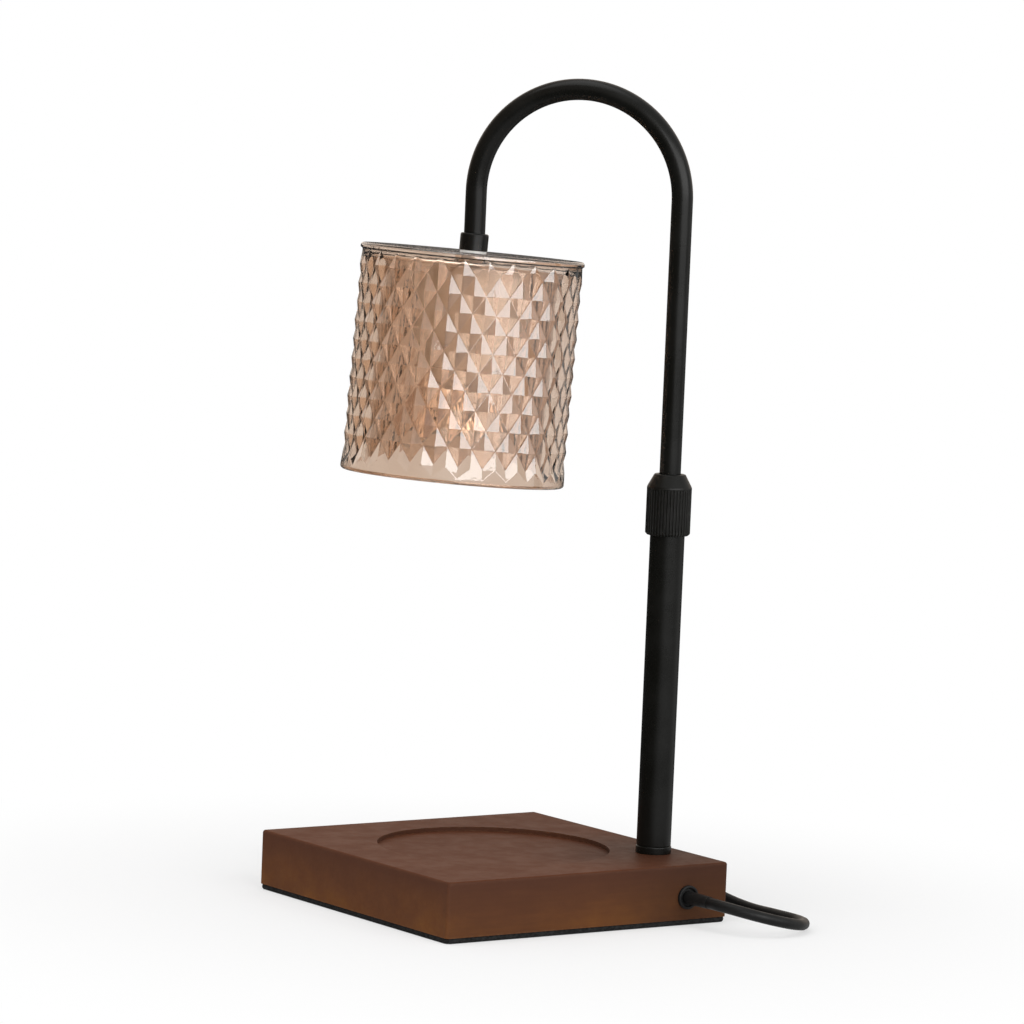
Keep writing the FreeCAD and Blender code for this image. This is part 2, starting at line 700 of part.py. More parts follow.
def soften(body, kind, size, test):
    """Fillet or chamfer the edges of the body's tip that a test accepts."""
    doc.recompute()
    base = body.Tip
    names = [f"Edge{number}" for number, edge in enumerate(base.Shape.Edges, start=1) if test(edge)]
    if not names:
        raise ValueError(f"{body.Label} has no edge to soften")
    feature = body.newObject("PartDesign::" + kind, body.Name + "_" + kind.lower())
    feature.Base = (base, names)
    feature.setExpression("Radius" if kind == "Fillet" else "Size", cell(size))
    return feature


def upright(edge):
    """True for a straight edge along the body's Z axis."""
    if not isinstance(edge.Curve, Part.Line):
        return False
    return abs(abs(edge.Curve.Direction.z) - 1) < 1e-6


def at_level(name, reach=None):
    """Test for edges that lie at a named level of the body, optionally no nearer its axis than a radius."""
    def test(edge):
        box = edge.BoundBox
        flat = box.ZLength < 1e-6 and abs(box.ZMin - value(name)) < 1e-4
        far = max(abs(box.XMin), abs(box.XMax), abs(box.YMin), abs(box.YMax))
        return flat and (reach is None or far > value(reach) - 1e-4)
    return test


# ---------------------------------------------------------------------------------------------------------
# Tubes along a route, for the cord and the leads

def rounded_path(points, radii):
    """Wire of straight runs joined by tangent arcs, one radius for each inner point."""
    edges = []
    start = points[0]
    for before, corner, after, radius in zip(points, points[1:], points[2:], radii):
        inward = (before - corner).normalize()
        outward = (after - corner).normalize()
        half_turn = (math.pi - inward.getAngle(outward)) / 2
        reach = radius * math.tan(half_turn)
        arc_start = corner + inward * reach
        arc_end = corner + outward * reach
        middle = (inward + outward).normalize() * (radius / math.cos(half_turn) - radius) + corner
        if (arc_start - start).Length > 1e-6:
            edges.append(Part.LineSegment(start, arc_start).toShape())
        edges.append(Part.Arc(arc_start, middle, arc_end).toShape())
        start = arc_end
    edges.append(Part.LineSegment(start, points[-1]).toShape())
    return Part.Wire(edges)


def route_radii(points):
    """Arc radius at each inner point: 0.45 of the shorter run over the tangent of half the turn."""
    radii = []
    for before, corner, after in zip(points, points[1:], points[2:]):
        run = min((corner - before).Length, (after - corner).Length)
        turn = (corner - before).getAngle(after - corner)
        radii.append(0.45 * run / math.tan(turn / 2))
    return radii


def tube(label, points, radius, radii=None):
    """Round solid along a route, as a feature of its own; prints its radii, and tests its volume."""
    path = rounded_path(points, radii or route_radii(points))
    heading = points[1] - points[0]
    section = Part.Wire([Part.Circle(points[0], heading, radius).toShape()])
    solid = path.makePipeShell([section], True, False)
    expected = math.pi * radius ** 2 * path.Length
    if abs(solid.Volume / expected - 1) > 0.01:
        raise ValueError(f"{label}: volume {solid.Volume:.1f}, but section times length is {expected:.1f}")
    shown = ", ".join(f"{number:.0f}" for number in (radii or route_radii(points)))
    print(f"{label}: length {path.Length:.1f} mm, bend radii {shown} mm")
    feature = doc.addObject("Part::Feature", label)
    feature.Label = label
    feature.Shape = solid
    return feature


# ---------------------------------------------------------------------------------------------------------
# Base

def base_block():
    """Square block of wood: dish on top, pockets for weight and nut below, channel for the cord."""
    body = new_body("base_block", level="pad_rise")
    sketch = new_sketch(body, "XY_Plane")
    rectangle(sketch, "base_side", "base_side")
    pad(body, sketch, "block_rise")
    soften(body, "Fillet", "block_corner", upright)
    soften(body, "Fillet", "block_edge", at_level("block_rise"))
    dish = new_sketch(body, "XY_Plane", lift="block_rise")
    circle(dish, "recess_radius")
    pocket(body, dish, "recess_depth", False)
    hollow = new_sketch(body, "XY_Plane")
    rectangle(hollow, "weight_pocket_side", "weight_pocket_side", "weight_across")
    pocket(body, hollow, "weight_pocket_depth", True)
    nut_pocket = new_sketch(body, "XY_Plane")
    circle(nut_pocket, "nut_pocket_radius", "post_across", "post_deep")
    pocket(body, nut_pocket, "nut_pocket_depth", True)
    nipple_hole = new_sketch(body, "XY_Plane")
    circle(nipple_hole, "nipple_seat_radius", "post_across", "post_deep")
    pocket(body, nipple_hole, "block_rise", True)
    slot = new_sketch(body, "XY_Plane")
    rectangle(slot, "cord_slot_width", "cord_slot_length", "cord_out_across", "cord_slot_deep")
    pocket(body, slot, "nut_pocket_depth", True)
    cord_hole = new_sketch(body, "XZ_Plane", lift="base_half")
    circle(cord_hole, "gland_hole_radius", "cord_out_across", "cord_hole_level")
    pocket(body, cord_hole, "cord_hole_depth", False)
    screws = new_sketch(body, "XY_Plane", shift="weight_across")
    for across in ("weight_screw_step", "-weight_screw_step"):
        for deep in ("weight_screw_step", "-weight_screw_step"):
            circle(screws, "screw_hole_radius", across, deep)
    pocket(body, screws, "screw_hole_depth", True)


def base_pad():
    """Thin soft pad that covers the underside, a little inside the edges of the block."""
    body = new_body("base_pad")
    sketch = new_sketch(body, "XY_Plane")
    rectangle(sketch, "pad_side", "pad_side")
    pad(body, sketch, "pad_rise")
    soften(body, "Fillet", "pad_corner", upright)


def counterweight():
    """Steel plate screwed into the underside, with four countersunk holes."""
    body = new_body("counterweight", "weight_across", 0, "weight_low")
    sketch = new_sketch(body, "XY_Plane")
    rectangle(sketch, "weight_side", "weight_side")
    for across in ("weight_screw_step", "-weight_screw_step"):
        for deep in ("weight_screw_step", "-weight_screw_step"):
            circle(sketch, "screw_hole_radius", across, deep)
    pad(body, sketch, "weight_thick")
    soften(body, "Chamfer", "screw_neck", round_at_floor)


def round_at_floor(edge):
    """True for a round edge in the body's own floor plane."""
    return isinstance(edge.Curve, Part.Circle) and edge.BoundBox.ZMax < 1e-4


def counterweight_screws():
    """Four countersunk wood screws, flush with the plate's underside."""
    body = new_body("counterweight_screws", "weight_across", 0, 0, (0, 0, 1), "45")
    points = [(0, "weight_low"), ("screw_head_radius", "weight_low"), ("screw_radius", "screw_neck_level"),
              ("screw_radius", "screw_tip_level"), (0, "screw_tip_level")]
    turned(body, points, "weight_bolt_radius", 4)


# ---------------------------------------------------------------------------------------------------------
# Post: foot, fastening under the block, outer tube, collet and collar

def base_nipple():
    """Hollow threaded nipple that ties the post's foot to the block and lets the lead through."""
    points = ring_points("nipple_bore_radius", "nipple_radius", "nipple_low", "nipple_top")
    turned(post_body("base_nipple"), points)


def base_washer():
    """Flat washer under the block's web."""
    points = ring_points("nipple_seat_radius", "washer_radius", "washer_low", "nut_ceiling")
    turned(post_body("base_washer"), points)


def base_spring_washer():
    """Split spring washer between nut and flat washer."""
    body = post_body("base_spring_washer")
    turned(body, ring_points("nipple_seat_radius", "spring_radius", "spring_low", "washer_low"))
    split = new_sketch(body, "XY_Plane", lift="spring_low")
    rectangle(split, "spring_washer_diameter", "spring_washer_split", "spring_radius")
    pocket(body, split, "spring_washer_thick", True)


def base_nut():
    """Thin hexagon nut on the nipple."""
    body = post_body("base_nut")
    sketch = new_sketch(body, "XY_Plane", lift="base_nut_low")
    hexagon(sketch, "base_nut_radius")
    circle(sketch, "nipple_seat_radius")
    pad(body, sketch, "base_nut_thick")


def foot_plug():
    """Turned foot of the post: a flange on the block and a spigot inside the outer tube."""
    points = [("nipple_seat_radius", "block_top"), ("foot_flange_radius", "block_top"),
              ("foot_flange_radius", "foot_flange_top"), ("insert_radius", "foot_flange_top"),
              ("insert_radius", "foot_plug_top"), ("nipple_seat_radius", "foot_plug_top")]
    turned(post_body("foot_plug"), points)


def outer_tube():
    """Fixed lower tube of the post."""
    points = ring_points("tube_bore_radius", "tube_radius", "foot_flange_top", "tube_top")
    turned(post_body("outer_tube"), points)


def collet_seat():
    """Sleeve in the top of the outer tube: it stops the guide bush and carries the collar's thread."""
    points = [("stem_free_radius", "seat_low"), ("insert_radius", "seat_low"), ("insert_radius", "tube_top"),
              ("seat_thread_radius", "tube_top"), ("seat_thread_radius", "seat_top"),
              ("stem_free_radius", "seat_top")]
    turned(post_body("collet_seat"), points)


def collet():
    """Split nylon cone that the collar squeezes onto the stem."""
    body = post_body("collet")
    points = [("stem_running_radius", "collet_low"), ("collet_foot_radius", "collet_low"),
              ("collet_foot_radius", "collet_cone_low"), ("collet_tip_radius", "collet_top"),
              ("stem_running_radius", "collet_top")]
    turned(body, points)
    slot = new_sketch(body, "XY_Plane", lift="collet_low")
    rectangle(slot, "collet_foot_diameter", "collet_slot", "collet_foot_radius")
    pocket(body, slot, "collet_length", True)


def collar():
    """Fluted locking collar: skirt over the tube's end, thread bore, cone over the collet, tapered nose."""
    body = post_body("collar")
    points = [("collar_skirt_radius", "collar_low"), ("collar_bottom_radius", "collar_low"),
              ("collar_radius", "collar_bottom_high"), ("collar_radius", "collar_nose_low"),
              ("collar_tip_radius", "collar_top"), ("stem_free_radius", "collar_top"),
              ("stem_free_radius", "chamber_top"), ("chamber_tip_radius", "chamber_top"),
              ("chamber_tip_radius", "collet_top"), ("chamber_foot_radius", "collet_cone_low"),
              ("collar_thread_radius", "collet_cone_low"), ("collar_thread_radius", "collar_step_level"),
              ("collar_skirt_radius", "collar_step_level")]
    turned(body, points)
    flute = new_sketch(body, "XY_Plane", lift="collar_low")
    circle(flute, "flute_half", "collar_radius")
    around(body, pocket(body, flute, "flute_length", True), int(value("flute_count")))


# ---------------------------------------------------------------------------------------------------------
# Sliding guide and hooked tube

def guide_bush():
    """Nylon bush on the stem's lower end, which slides in the outer tube."""
    turned(post_body("guide_bush"), ring_points("stem_running_radius", "bush_radius", "bush_low", "bush_top"))


def stem_rings():
    """Two retaining rings pressed on the stem, below and above the bush."""
    body = post_body("stem_rings")
    sketch = new_sketch(body, "XZ_Plane")
    outline(sketch, ring_points("ring_bore_radius", "ring_radius", "low_ring_low", "low_ring_top"))
    outline(sketch, ring_points("ring_bore_radius", "ring_radius", "high_ring_low", "high_ring_top"))
    spin(body, sketch)


def hook_tube():
    """Bent tube: a straight stem, a half-circle bend and a short end that points down over the candle."""
    body = new_body("hook_tube", "post_across", "post_deep", "stem_low", (0, 0, 1), "hook_heading")
    section = new_sketch(body, "XY_Plane")
    circle(section, "stem_radius")
    circle(section, "stem_bore_radius")
    spine = new_sketch(body, "XZ_Plane")
    level, radius = value("stem_length"), value("bend_radius")
    reach, end = value("hook_reach"), value("hook_end_local")
    spine.addGeometry(Part.LineSegment(Vector(0, 0, 0), Vector(0, level, 0)))
    bend = Part.Circle(Vector(radius, level, 0), Vector(0, 0, 1), radius)
    spine.addGeometry(Part.ArcOfCircle(bend, 0, math.pi))
    spine.addGeometry(Part.LineSegment(Vector(reach, level, 0), Vector(reach, end, 0)))
    spine.addConstraint(Sketcher.Constraint("Coincident", 0, 1, -1, 1))
    pin_point(spine, 0, 2, 0, "stem_length")
    pin_point(spine, 1, 3, "bend_radius", "stem_length")
    pin_point(spine, 1, 1, "hook_reach", "stem_length")
    height = spine.addConstraint(Sketcher.Constraint("DistanceY", -1, 1, 1, 2, level))
    spine.setExpression(f"Constraints[{height}]", cell("stem_length"))
    pin_point(spine, 2, 1, "hook_reach", "stem_length")
    pin_point(spine, 2, 2, "hook_reach", "hook_end_local")
    pipe = body.newObject("PartDesign::AdditivePipe", "hook_tube_pipe")
    pipe.Profile = section
    pipe.Spine = (spine, ["Edge1", "Edge2", "Edge3"])


# ---------------------------------------------------------------------------------------------------------
# Head: fastening, shade, socket and bulb, all in the leaning frame but for the plug in the tube's end

def hook_end_plug():
    """Plug in the hook's end, with a bore drilled at the head's lean for the nipple."""
    core = doc.addObject("Part::Cylinder", "hook_end_core")
    core.setExpression("Radius", cell("end_plug_radius"))
    core.setExpression("Height", cell("end_plug_length"))
    core.setExpression("Placement", placing("head_across", "head_deep", "hook_end_level"))
    drill = doc.addObject("Part::Cylinder", "hook_end_drill")
    drill.setExpression("Radius", cell("head_nipple_seat"))
    drill.setExpression("Height", cell("drill_length"))
    place = placing("head_across", "head_deep", "head_level", (0, 1, 0), "head_lean")
    shift = placing(0, 0, "-drill_drop")
    drill.setExpression("Placement", f"{place} * {shift}")
    cut = doc.addObject("Part::Cut", "hook_end_plug")
    cut.Label = "hook_end_plug"
    cut.Base = core
    cut.Tool = drill


def head_nipple():
    """Hollow threaded nipple that holds the whole head together."""
    levels = ("head_nipple_low", "head_nipple_rise")
    turned(head_body("head_nipple"), ring_points("head_nipple_bore_radius", "head_nipple_radius", *levels))


def ferrule():
    """Black cap on top of the shade, with a cup for the hook's end."""
    points = [("head_nipple_seat", "ferrule_low"), ("ferrule_radius", "ferrule_low"),
              ("ferrule_radius", "ferrule_shoulder"), ("ferrule_neck_radius", "ferrule_top"),
              ("ferrule_cup_radius", "ferrule_top"), ("ferrule_cup_radius", "ferrule_cup_low"),
              ("head_nipple_seat", "ferrule_cup_low")]
    turned(head_body("ferrule"), points)


def shade_gasket():
    """Silicone washer between ferrule and glass."""
    points = ring_points("head_nipple_seat", "gasket_radius", "shade_level", "ferrule_low")
    turned(head_body("shade_gasket"), points)


def glass_shade():
    """Glass cylinder with a closed roof, a hole in the roof's middle and an open, rounded rim."""
    body = head_body("glass_shade")
    points = [("shade_hole_radius", "shade_roof_low"), ("shade_bore_radius", "shade_roof_low"),
              ("shade_bore_radius", "shade_low"), ("shade_radius", "shade_low"),
              ("shade_radius", "shade_level"), ("shade_hole_radius", "shade_level")]
    turned(body, points)
    soften(body, "Fillet", "shade_edge", at_level("shade_level", "shade_radius"))
    soften(body, "Fillet", "rim_edge", at_level("shade_low"))


def shade_grommet():
    """Silicone grommet under the roof, whose spigot centres the glass on the nipple."""
    points = [("head_nipple_seat", "grommet_low"), ("grommet_flange_radius", "grommet_low"),
              ("grommet_flange_radius", "shade_roof_low"), ("spigot_radius", "shade_roof_low"),
              ("spigot_radius", "spigot_top"), ("head_nipple_seat", "spigot_top")]
    turned(head_body("shade_grommet"), points)


def socket_cover():
    """Metal cup over the lamp holder."""
    body = head_body("socket_cover")
    points = [("head_nipple_seat", "cover_roof_low"), ("cover_bore_radius", "cover_roof_low"),
              ("cover_bore_radius", "cover_low"), ("cover_radius", "cover_low"),
              ("cover_radius", "grommet_low"), ("head_nipple_seat", "grommet_low")]
    turned(body, points)
    soften(body, "Fillet", "cover_edge", at_level("grommet_low", "cover_radius"))


def holder_bracket():
    """U-shaped strip under the cup's roof; its feet carry the lamp holder."""
    body = head_body("holder_bracket")
    sketch = new_sketch(body, "YZ_Plane", lift="-bracket_half")
    right = [("bracket_reach", "cover_roof_low"), ("bracket_reach", "bracket_foot_low"),
             ("bracket_foot_reach", "bracket_foot_low"), ("bracket_foot_reach", "bracket_foot_top"),
             ("bracket_inner", "bracket_foot_top"), ("bracket_inner", "bracket_low")]
    left = [("-" + across, level) for across, level in reversed(right)]
    outline(sketch, right + left)
    pad(body, sketch, "bracket_width")
    holes = new_sketch(body, "XY_Plane")
    circle(holes, "head_nipple_seat")
    circle(holes, "holder_screw_hole_radius", 0, "holder_screw_reach")
    circle(holes, "holder_screw_hole_radius", 0, "-holder_screw_reach")
    pocket(body, holes, "cover_height", False)


def lock_nut():
    """Hexagon nut that clamps bracket, cup, grommet and glass against the ferrule."""
    body = head_body("lock_nut")
    sketch = new_sketch(body, "XY_Plane", lift="lock_nut_low")
    hexagon(sketch, "lock_nut_radius")
    circle(sketch, "head_nipple_seat")
    pad(body, sketch, "lock_nut_thick")


def lamp_holder():
    """Ceramic holder: two pin holes below, two screw holes and two core holes above."""
    body = head_body("lamp_holder")
    turned(body, ring_points(0, "holder_radius", "holder_low", "bracket_foot_low"))
    pins = new_sketch(body, "XY_Plane", lift="holder_low")
    circle(pins, "pin_hole_radius", "pin_reach")
    circle(pins, "pin_hole_radius", "-pin_reach")
    pocket(body, pins, "pin_hole_depth", True)
    screws = new_sketch(body, "XY_Plane", lift="bracket_foot_low")
    circle(screws, "holder_screw_hole_radius", 0, "holder_screw_reach")
    circle(screws, "holder_screw_hole_radius", 0, "-holder_screw_reach")
    pocket(body, screws, "holder_screw_hole_depth", False)
    cores = new_sketch(body, "XY_Plane", lift="bracket_foot_low")
    circle(cores, "core_hole_radius", "pin_reach")
    circle(cores, "core_hole_radius", "-pin_reach")
    pocket(body, cores, "core_hole_depth", False)


def holder_contacts():
    """Two brass contacts at the ends of the pin holes."""
    points = ring_points(0, "contact_radius", "contact_low", "contact_top")
    turned(head_body("holder_contacts"), points, "pin_reach", 2)


def holder_screws():
    """Two pan-head screws through the bracket's feet."""
    points = [(0, "holder_screw_low"), ("holder_screw_radius", "holder_screw_low"),
              ("holder_screw_radius", "bracket_foot_top"), ("holder_screw_head_radius", "bracket_foot_top"),
              ("holder_screw_head_radius", "holder_screw_top"), (0, "holder_screw_top")]
    turned(head_body("holder_screws"), points, "holder_screw_reach", 2, "YZ_Plane")


def bulb_pins():
    """Two headed contact pins of the bulb."""
    points = [(0, "bulb_top"), ("pin_stem_radius", "bulb_top"), ("pin_stem_radius", "pin_head_low"),
              ("pin_head_radius", "pin_head_low"), ("pin_head_radius", "pin_top"), (0, "pin_top")]
    turned(head_body("bulb_pins"), points, "pin_reach", 2)


def bulb_neck():
    """Ceramic neck of the bulb."""
    points = [(0, "neck_low"), ("neck_tip_radius", "neck_low"), ("neck_radius", "bulb_top"),
              (0, "bulb_top")]
    turned(head_body("bulb_neck"), points)


def bulb_reflector():
    """Thin glass reflector that widens from the neck to the lens."""
    points = [("reflector_neck_bore", "neck_low"), ("reflector_waist_bore", "reflector_waist_level"),
              ("reflector_rim_bore", "reflector_rim_top"), ("reflector_rim_bore", "reflector_low"),
              ("reflector_radius", "reflector_low"), ("reflector_waist_radius", "reflector_waist_level"),
              ("neck_tip_radius", "neck_low")]
    turned(head_body("bulb_reflector"), points)


def bulb_lens():
    """Front lens of the bulb."""
    turned(head_body("bulb_lens"), ring_points(0, "reflector_radius", "lens_low", "reflector_low"))


def bulb_capsule():
    """Halogen capsule on the neck, inside the reflector."""
    points = [(0, "capsule_low"), ("capsule_tip_radius", "capsule_low"),
              ("capsule_radius", "capsule_shoulder"), ("capsule_radius", "neck_low"), (0, "neck_low")]
    turned(head_body("bulb_capsule"), points)


# ---------------------------------------------------------------------------------------------------------
# Leads inside the lamp

def spot(across, deep, level):
    """Point whose coordinates are names of the sheet."""
    return Vector(value(across), value(deep), value(level))


def base_lead():
    """Lead from the cord's end through the slot, under the nut and up the nipple."""
    start = spot("cord_out_across", "base_front", "cord_out_level")
    slot_mouth = spot("cord_out_across", "cord_slot_front", "cord_out_level")
    post_foot = spot("post_across", "post_deep", "lead_dip_level")
    dip = slot_mouth * 0.35 + post_foot * 0.65
    dip.z = post_foot.z
    joint = spot("post_across", "post_deep", "nipple_top")
    tube("base_lead", [start, slot_mouth, dip, post_foot, joint], value("lead_radius"))


def post_lead():
    """Lead inside the outer tube, which crumples as the hook slides down."""
    turned(post_body("post_lead"), ring_points(0, "lead_radius", "nipple_top", "lead_low"))


def head_point(across, level):
    """Point of the head's leaning frame, in the lamp's frame."""
    turn = FreeCAD.Rotation(Vector(0, 1, 0), value("head_lean"))
    return spot("head_across", "head_deep", "head_level") + turn.multVec(Vector(across, 0, level))


def hook_lead():
    """Lead through stem, bend and hook's end down to the nipple's lower end."""
    crown = value("bend_level") + value("bend_radius")
    start = spot("post_across", "post_deep", "lead_low")
    first = Vector(start.x, start.y, crown)
    second = Vector(value("head_across"), value("head_deep"), crown)
    bend = value("bend_radius")
    kink = 2 * bend
    end = head_point(0, value("head_nipple_low"))
    route = [start, first, second, head_point(0, 0), end]
    tube("hook_lead", route, value("lead_radius"), [bend, bend, kink])


def socket_cores():
    """Two insulated cores from the nipple's lower end to the contacts."""
    shapes = []
    for side in (-1, 1):
        near, far = side * value("core_reach"), side * value("pin_reach")
        points = [head_point(near, value("head_nipple_low")), head_point(near, value("core_bend_level")),
                  head_point(far, value("core_turn_level")), head_point(far, value("contact_top"))]
        feature = tube("socket_core", points, value("core_radius"))
        shapes.append(feature.Shape.copy())
        doc.removeObject(feature.Name)
    group = doc.addObject("Part::Feature", "socket_cores")
    group.Label = "socket_cores"
    group.Shape = Part.makeCompound(shapes)


# ---------------------------------------------------------------------------------------------------------
# Cord, its gland, its coil, the dimmer and the plug

# Inner points of the cord's route in millimetres: across and deep from the base's corner that is nearest, and
# the level. The first stretch counts from the front corner beside the post, the others from the back corner.
WAY_TO_DIMMER = [(-22.0, -26.1, 12.6), (-8.3, -39.8, 8.6), (11.1, -39.8, 4.2), (24.8, -26.1, 2.5),
                 (24.8, -6.7, 2.5), (22.5, 15.0, 2.5), (17.0, 36.0, 7.5)]
WAY_TO_COIL = [(17.0, -5.1, 7.5), (-0.7, 13.0, 3.1), (-26.2, 11.6, 3.1), (-51.0, 8.25, 3.1)]
WAY_TO_PLUG = [(-41.0, 75.3, 8.1), (-27.5, 65.4, 5.4), (-12.0, 55.12, 6.8)]


def from_corner(deep, points):
    """Points counted from a corner of the base on the post's side, in the lamp's frame."""
    corner = Vector(value("base_half"), value(deep), 0)
    return [corner + Vector(*point) for point in points]


def cords():
    """The three stretches of the cord that aren't coiled."""
    gland = spot("cord_out_across", "base_front", "cord_out_level")
    dimmer_in = spot("dimmer_across", "dimmer_front_inside", "dimmer_cord_level")
    dimmer_out = spot("dimmer_across", "dimmer_back_inside", "dimmer_cord_level")
    plug = spot("plug_back_across", "plug_back_deep", "plug_level")
    radius = value("cord_radius")
    tube("cord_to_dimmer", [gland] + from_corner("base_front", WAY_TO_DIMMER) + [dimmer_in], radius)
    tube("cord_to_coil", [dimmer_out] + from_corner("base_half", WAY_TO_COIL), radius)
    tube("cord_to_plug", from_corner("base_half", WAY_TO_PLUG) + [plug], radius)


def cord_gland():
    """Moulded gland in the base's side: spigot in the hole, flange on the wood and a tapered nose."""
    body = new_body("cord_gland", "cord_out_across", "base_front", "cord_out_level", (1, 0, 0), "90")
    points = [("cord_seat_radius", "-gland_insert"), ("gland_radius", "-gland_insert"), ("gland_radius", 0),
              ("gland_flange_radius", 0), ("gland_flange_radius", "gland_flange_thick"),
              ("gland_nose_radius", "gland_flange_thick"), ("gland_tip_radius", "gland_nose_top"),
              ("cord_seat_radius", "gland_nose_top")]
    turned(body, points)


def cord_coil():
    """Outer shape of the coil of spare cord."""
    body = new_body("cord_coil", "coil_across", "coil_deep")
    turned(body, ring_points("coil_inner_radius", "coil_outer_radius", "tie_thick", "coil_top"))
    soften(body, "Fillet", "coil_edge", lambda edge: edge.BoundBox.ZLength < 1e-6)


def cord_tie():
    """Flat band around the coil at one place."""
    body = new_body("cord_tie", "coil_across", "coil_deep", 0, (0, 0, 1), "tie_heading")
    sketch = new_sketch(body, "XZ_Plane")
    outline(sketch, ring_points("tie_near", "tie_far", 0, "tie_top"))
    outline(sketch, ring_points("tie_bore_near", "tie_bore_far", "tie_bore_low", "tie_bore_top"))
    band = spin(body, sketch)
    band.setExpression("Angle", cell("tie_span"))


def dimmer_half(label, level, rise, hollow_level, hollow_depth, outer_level):
    """One half shell of the dimmer: rounded box with a hollow, cord holes and the wheel's slot."""
    body = new_body(label, "dimmer_across", "dimmer_deep")
    sketch = new_sketch(body, "XY_Plane", lift=level)
    rectangle(sketch, "dimmer_width", "dimmer_length")
    pad(body, sketch, rise)
    soften(body, "Fillet", "dimmer_corner", upright)
    soften(body, "Fillet", "dimmer_edge", at_level(outer_level))
    hollow = new_sketch(body, "XY_Plane", lift=hollow_level)
    rectangle(hollow, "dimmer_inner_width", "dimmer_inner_length")
    pocket(body, hollow, hollow_depth, True)
    cord_way = new_sketch(body, "XZ_Plane", lift="dimmer_half_length")
    circle(cord_way, "dimmer_relief_hole_radius", 0, "dimmer_cord_level")
    pocket(body, cord_way, "dimmer_length", False)
    slot = new_sketch(body, "XY_Plane", lift="wheel_slot_low")
    circle(slot, "wheel_slot_radius", "wheel_across")
    pocket(body, slot, "wheel_slot_rise", True)
    return body


def dimmer_lower():
    """Lower shell of the dimmer, with sunk holes for its screws."""
    body = dimmer_half("dimmer_lower", 0, "dimmer_split", "dimmer_wall", "dimmer_lower_depth", 0)
    for radius, depth in (("dimmer_screw_sink_radius", "dimmer_screw_head_rise"),
                          ("dimmer_screw_hole_radius", "dimmer_wall")):
        holes = new_sketch(body, "XY_Plane")
        for deep in ("dimmer_screw_reach", "-dimmer_screw_reach"):
            circle(holes, radius, "dimmer_screw_across", deep)
        pocket(body, holes, depth, True)


def dimmer_upper():
    """Upper shell of the dimmer, with two bosses that the screws bite into."""
    body = dimmer_half("dimmer_upper", "dimmer_split", "dimmer_upper_rise", "dimmer_split",
                       "dimmer_upper_depth", "dimmer_rise")
    bosses = new_sketch(body, "XY_Plane", lift="dimmer_boss_low")
    holes = new_sketch(body, "XY_Plane", lift="dimmer_boss_low")
    for deep in ("dimmer_screw_reach", "-dimmer_screw_reach"):
        circle(bosses, "dimmer_boss_radius", "dimmer_screw_across", deep)
        circle(holes, "dimmer_screw_hole_radius", "dimmer_screw_across", deep)
    pad(body, bosses, "dimmer_boss_rise")
    pocket(body, holes, "dimmer_boss_hole_depth", True)


def dimmer_screws():
    """Two screws from below that close the dimmer."""
    body = new_body("dimmer_screws", "dimmer_screw_place", "dimmer_deep")
    points = [(0, 0), ("dimmer_screw_head_radius", 0), ("dimmer_screw_head_radius", "dimmer_screw_head_rise"),
              ("dimmer_screw_radius", "dimmer_screw_head_rise"), ("dimmer_screw_radius", "dimmer_screw_top"),
              (0, "dimmer_screw_top")]
    turned(body, points, "dimmer_screw_reach", 2, "YZ_Plane")


def dimmer_board():
    """Circuit board on the lower shell's floor."""
    body = new_body("dimmer_board", "dimmer_across", "dimmer_deep")
    sketch = new_sketch(body, "XY_Plane", lift="dimmer_wall")
    rectangle(sketch, "board_width", "board_length")
    pad(body, sketch, "board_thick")


def dimmer_control():
    """Rotary control on the board: a round case and the shaft that the wheel turns on."""
    points = [(0, "board_top"), ("pot_radius", "board_top"), ("pot_radius", "pot_top"),
              ("shaft_radius", "pot_top"), ("shaft_radius", "shaft_top"), (0, "shaft_top")]
    turned(new_body("dimmer_control", "wheel_place", "dimmer_deep"), points)


def dimmer_wheel():
    """Notched thumbwheel that sticks out of the dimmer's side."""
    body = new_body("dimmer_wheel", "wheel_place", "dimmer_deep")
    turned(body, ring_points("wheel_bore_radius", "wheel_radius", "wheel_level", "wheel_top"))
    soften(body, "Chamfer", "wheel_edge",
           lambda edge: edge.BoundBox.ZLength < 1e-6 and edge.BoundBox.XMax > value("wheel_radius") - 1e-3)
    notch = new_sketch(body, "XY_Plane", lift="wheel_level")
    circle(notch, "wheel_notch_half", "wheel_radius")
    around(body, pocket(body, notch, "wheel_thick", True), int(value("wheel_notch_count")))


def dimmer_reliefs():
    """Tapered sleeves through the dimmer's end walls, where the cord enters and leaves it."""
    body = new_body("dimmer_reliefs", "dimmer_across", "dimmer_deep", "dimmer_cord_level")
    sketch = new_sketch(body, "XY_Plane")
    for sign in ("", "-"):
        outline(sketch, [("cord_seat_radius", sign + "dimmer_relief_start"),
                         ("dimmer_relief_radius", sign + "dimmer_relief_start"),
                         ("dimmer_relief_radius", sign + "dimmer_half_length"),
                         ("dimmer_relief_tip_radius", sign + "dimmer_relief_end"),
                         ("cord_seat_radius", sign + "dimmer_relief_end")])
    spin(body, sketch)


def plug_frame(label):
    """Body in the plug's frame: origin where the cord meets its back, +X along the blades."""
    return new_body(label, "plug_back_across", "plug_back_deep", "plug_level", (0, 0, 1), "plug_heading")


def along_x(edge):
    """True for a straight edge along the body's X axis."""
    return isinstance(edge.Curve, Part.Line) and abs(abs(edge.Curve.Direction.x) - 1) < 1e-6


